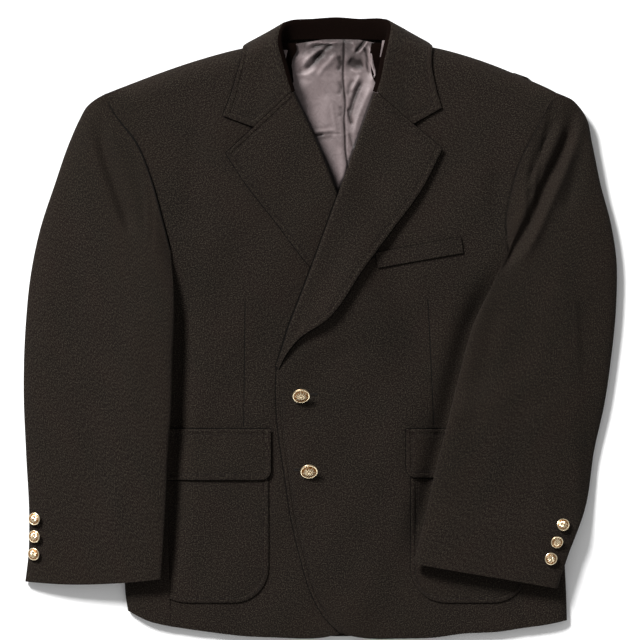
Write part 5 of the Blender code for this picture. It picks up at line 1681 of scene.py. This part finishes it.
def buttonhole(name, x, y):
    mesh = bpy.data.meshes.new(name)
    shape = bmesh.new()
    bmesh.ops.create_grid(shape, x_segments=48, y_segments=8, size=0.5)
    straight = HOLE_LENGTH / 2 - HOLE_WIDTH / 2
    for vertex in shape.verts:
        turn = (vertex.co.x + 0.5) * 2 * math.pi
        around = (vertex.co.y + 0.5) * 2 * math.pi
        ridge = CORD_RADIUS + CORD_RIPPLE * math.cos(turn * CORD_TURNS)
        out = HOLE_WIDTH / 2 + ridge * math.cos(around)
        px = x + math.copysign(straight, math.cos(turn)) * min(1, abs(math.cos(turn)) / ROUND_ENDS)
        px += out * math.cos(turn)
        py = y + out * math.sin(turn)
        level = float(front_top(np.array([(px, py)]), LEFT)[0])
        raised = level + CORD_LIFT + CORD_RISE * math.sin(around)
        vertex.co = (Vector((px, py, raised)) - Vector(PLAN_MIDDLE)) * MM
    bmesh.ops.remove_doubles(shape, verts=shape.verts[:], dist=0.00001)
    bmesh.ops.recalc_face_normals(shape, faces=shape.faces[:])
    shape.to_mesh(mesh)
    shape.free()
    placed(name, mesh, THREAD)
    print(f"{name}: {len(mesh.polygons)} faces")


for number, ((x, y), reach) in enumerate(zip(FRONT_BUTTONS, (8.5, -6.5)), 1):
    buttonhole(f"buttonhole_{number}", x + reach, y + 1.5)

# %% [markdown]
# ## Table and light
# The jacket lies on a plain white table. One large soft light stands at the upper left and high up, so the
# sleeves and the lapel throw short soft shadows to the lower right, and an even sky fills the rest. A long
# low card of light stands beyond the hem: the matt wool hardly takes it, but the curved brass of the
# buttons mirrors it.

# %% Table and lights
TABLE_HALF, TABLE_DROP, SKY_STRENGTH = 6.0, 0.0003, 0.38
KEY_PLACE, KEY_SIZE, KEY_POWER = Vector((-3.3, 4.3, 4.2)), (2.0, 2.0), 880.0
CARD_PLACE, CARD_SIZE, CARD_POWER = Vector((0.0, -3.6, 0.75)), (3.0, 0.8), 34.0


def area_light(name, form, size, place, power):
    """A soft light that faces the jacket's middle."""
    data = bpy.data.lights.new(name, "AREA")
    data.shape = form
    data.size, data.size_y = size
    data.energy = power
    light = bpy.data.objects.new(name, data)
    light.location = place
    light.rotation_euler = (-place).to_track_quat("-Z", "Y").to_euler()
    bpy.context.scene.collection.objects.link(light)
    print(f"{name}: {power:.0f} W from {place.length:.1f} m")


table_mesh = bpy.data.meshes.new("table_top")
table_shape = bmesh.new()
bmesh.ops.create_grid(table_shape, x_segments=1, y_segments=1, size=TABLE_HALF)
bmesh.ops.translate(table_shape, verts=table_shape.verts[:], vec=(0, 0, -TABLE_DROP))
table_shape.to_mesh(table_mesh)
table_shape.free()
white, white_tree, white_shader = new_material("White laminate, smooth")
fill(white_tree, white_shader, {"Base Color": linear("#fbfbfb"), "Roughness": 0.8, "Specular IOR Level": 0.2})
table_mesh.materials.append(white)
table_top = bpy.data.objects.new("table_top", table_mesh)
bpy.context.scene.collection.objects.link(table_top)

area_light("Key softbox", "DISK", KEY_SIZE, KEY_PLACE, KEY_POWER)
area_light("Low card", "RECTANGLE", CARD_SIZE, CARD_PLACE, CARD_POWER)
sky = bpy.data.worlds.new("Even sky")
sky.use_nodes = True
fill(sky.node_tree, sky.node_tree.nodes["Background"], {"Color": (1, 1, 1, 1), "Strength": SKY_STRENGTH})
bpy.context.scene.world = sky
bpy.context.scene.view_settings.view_transform = "Standard"
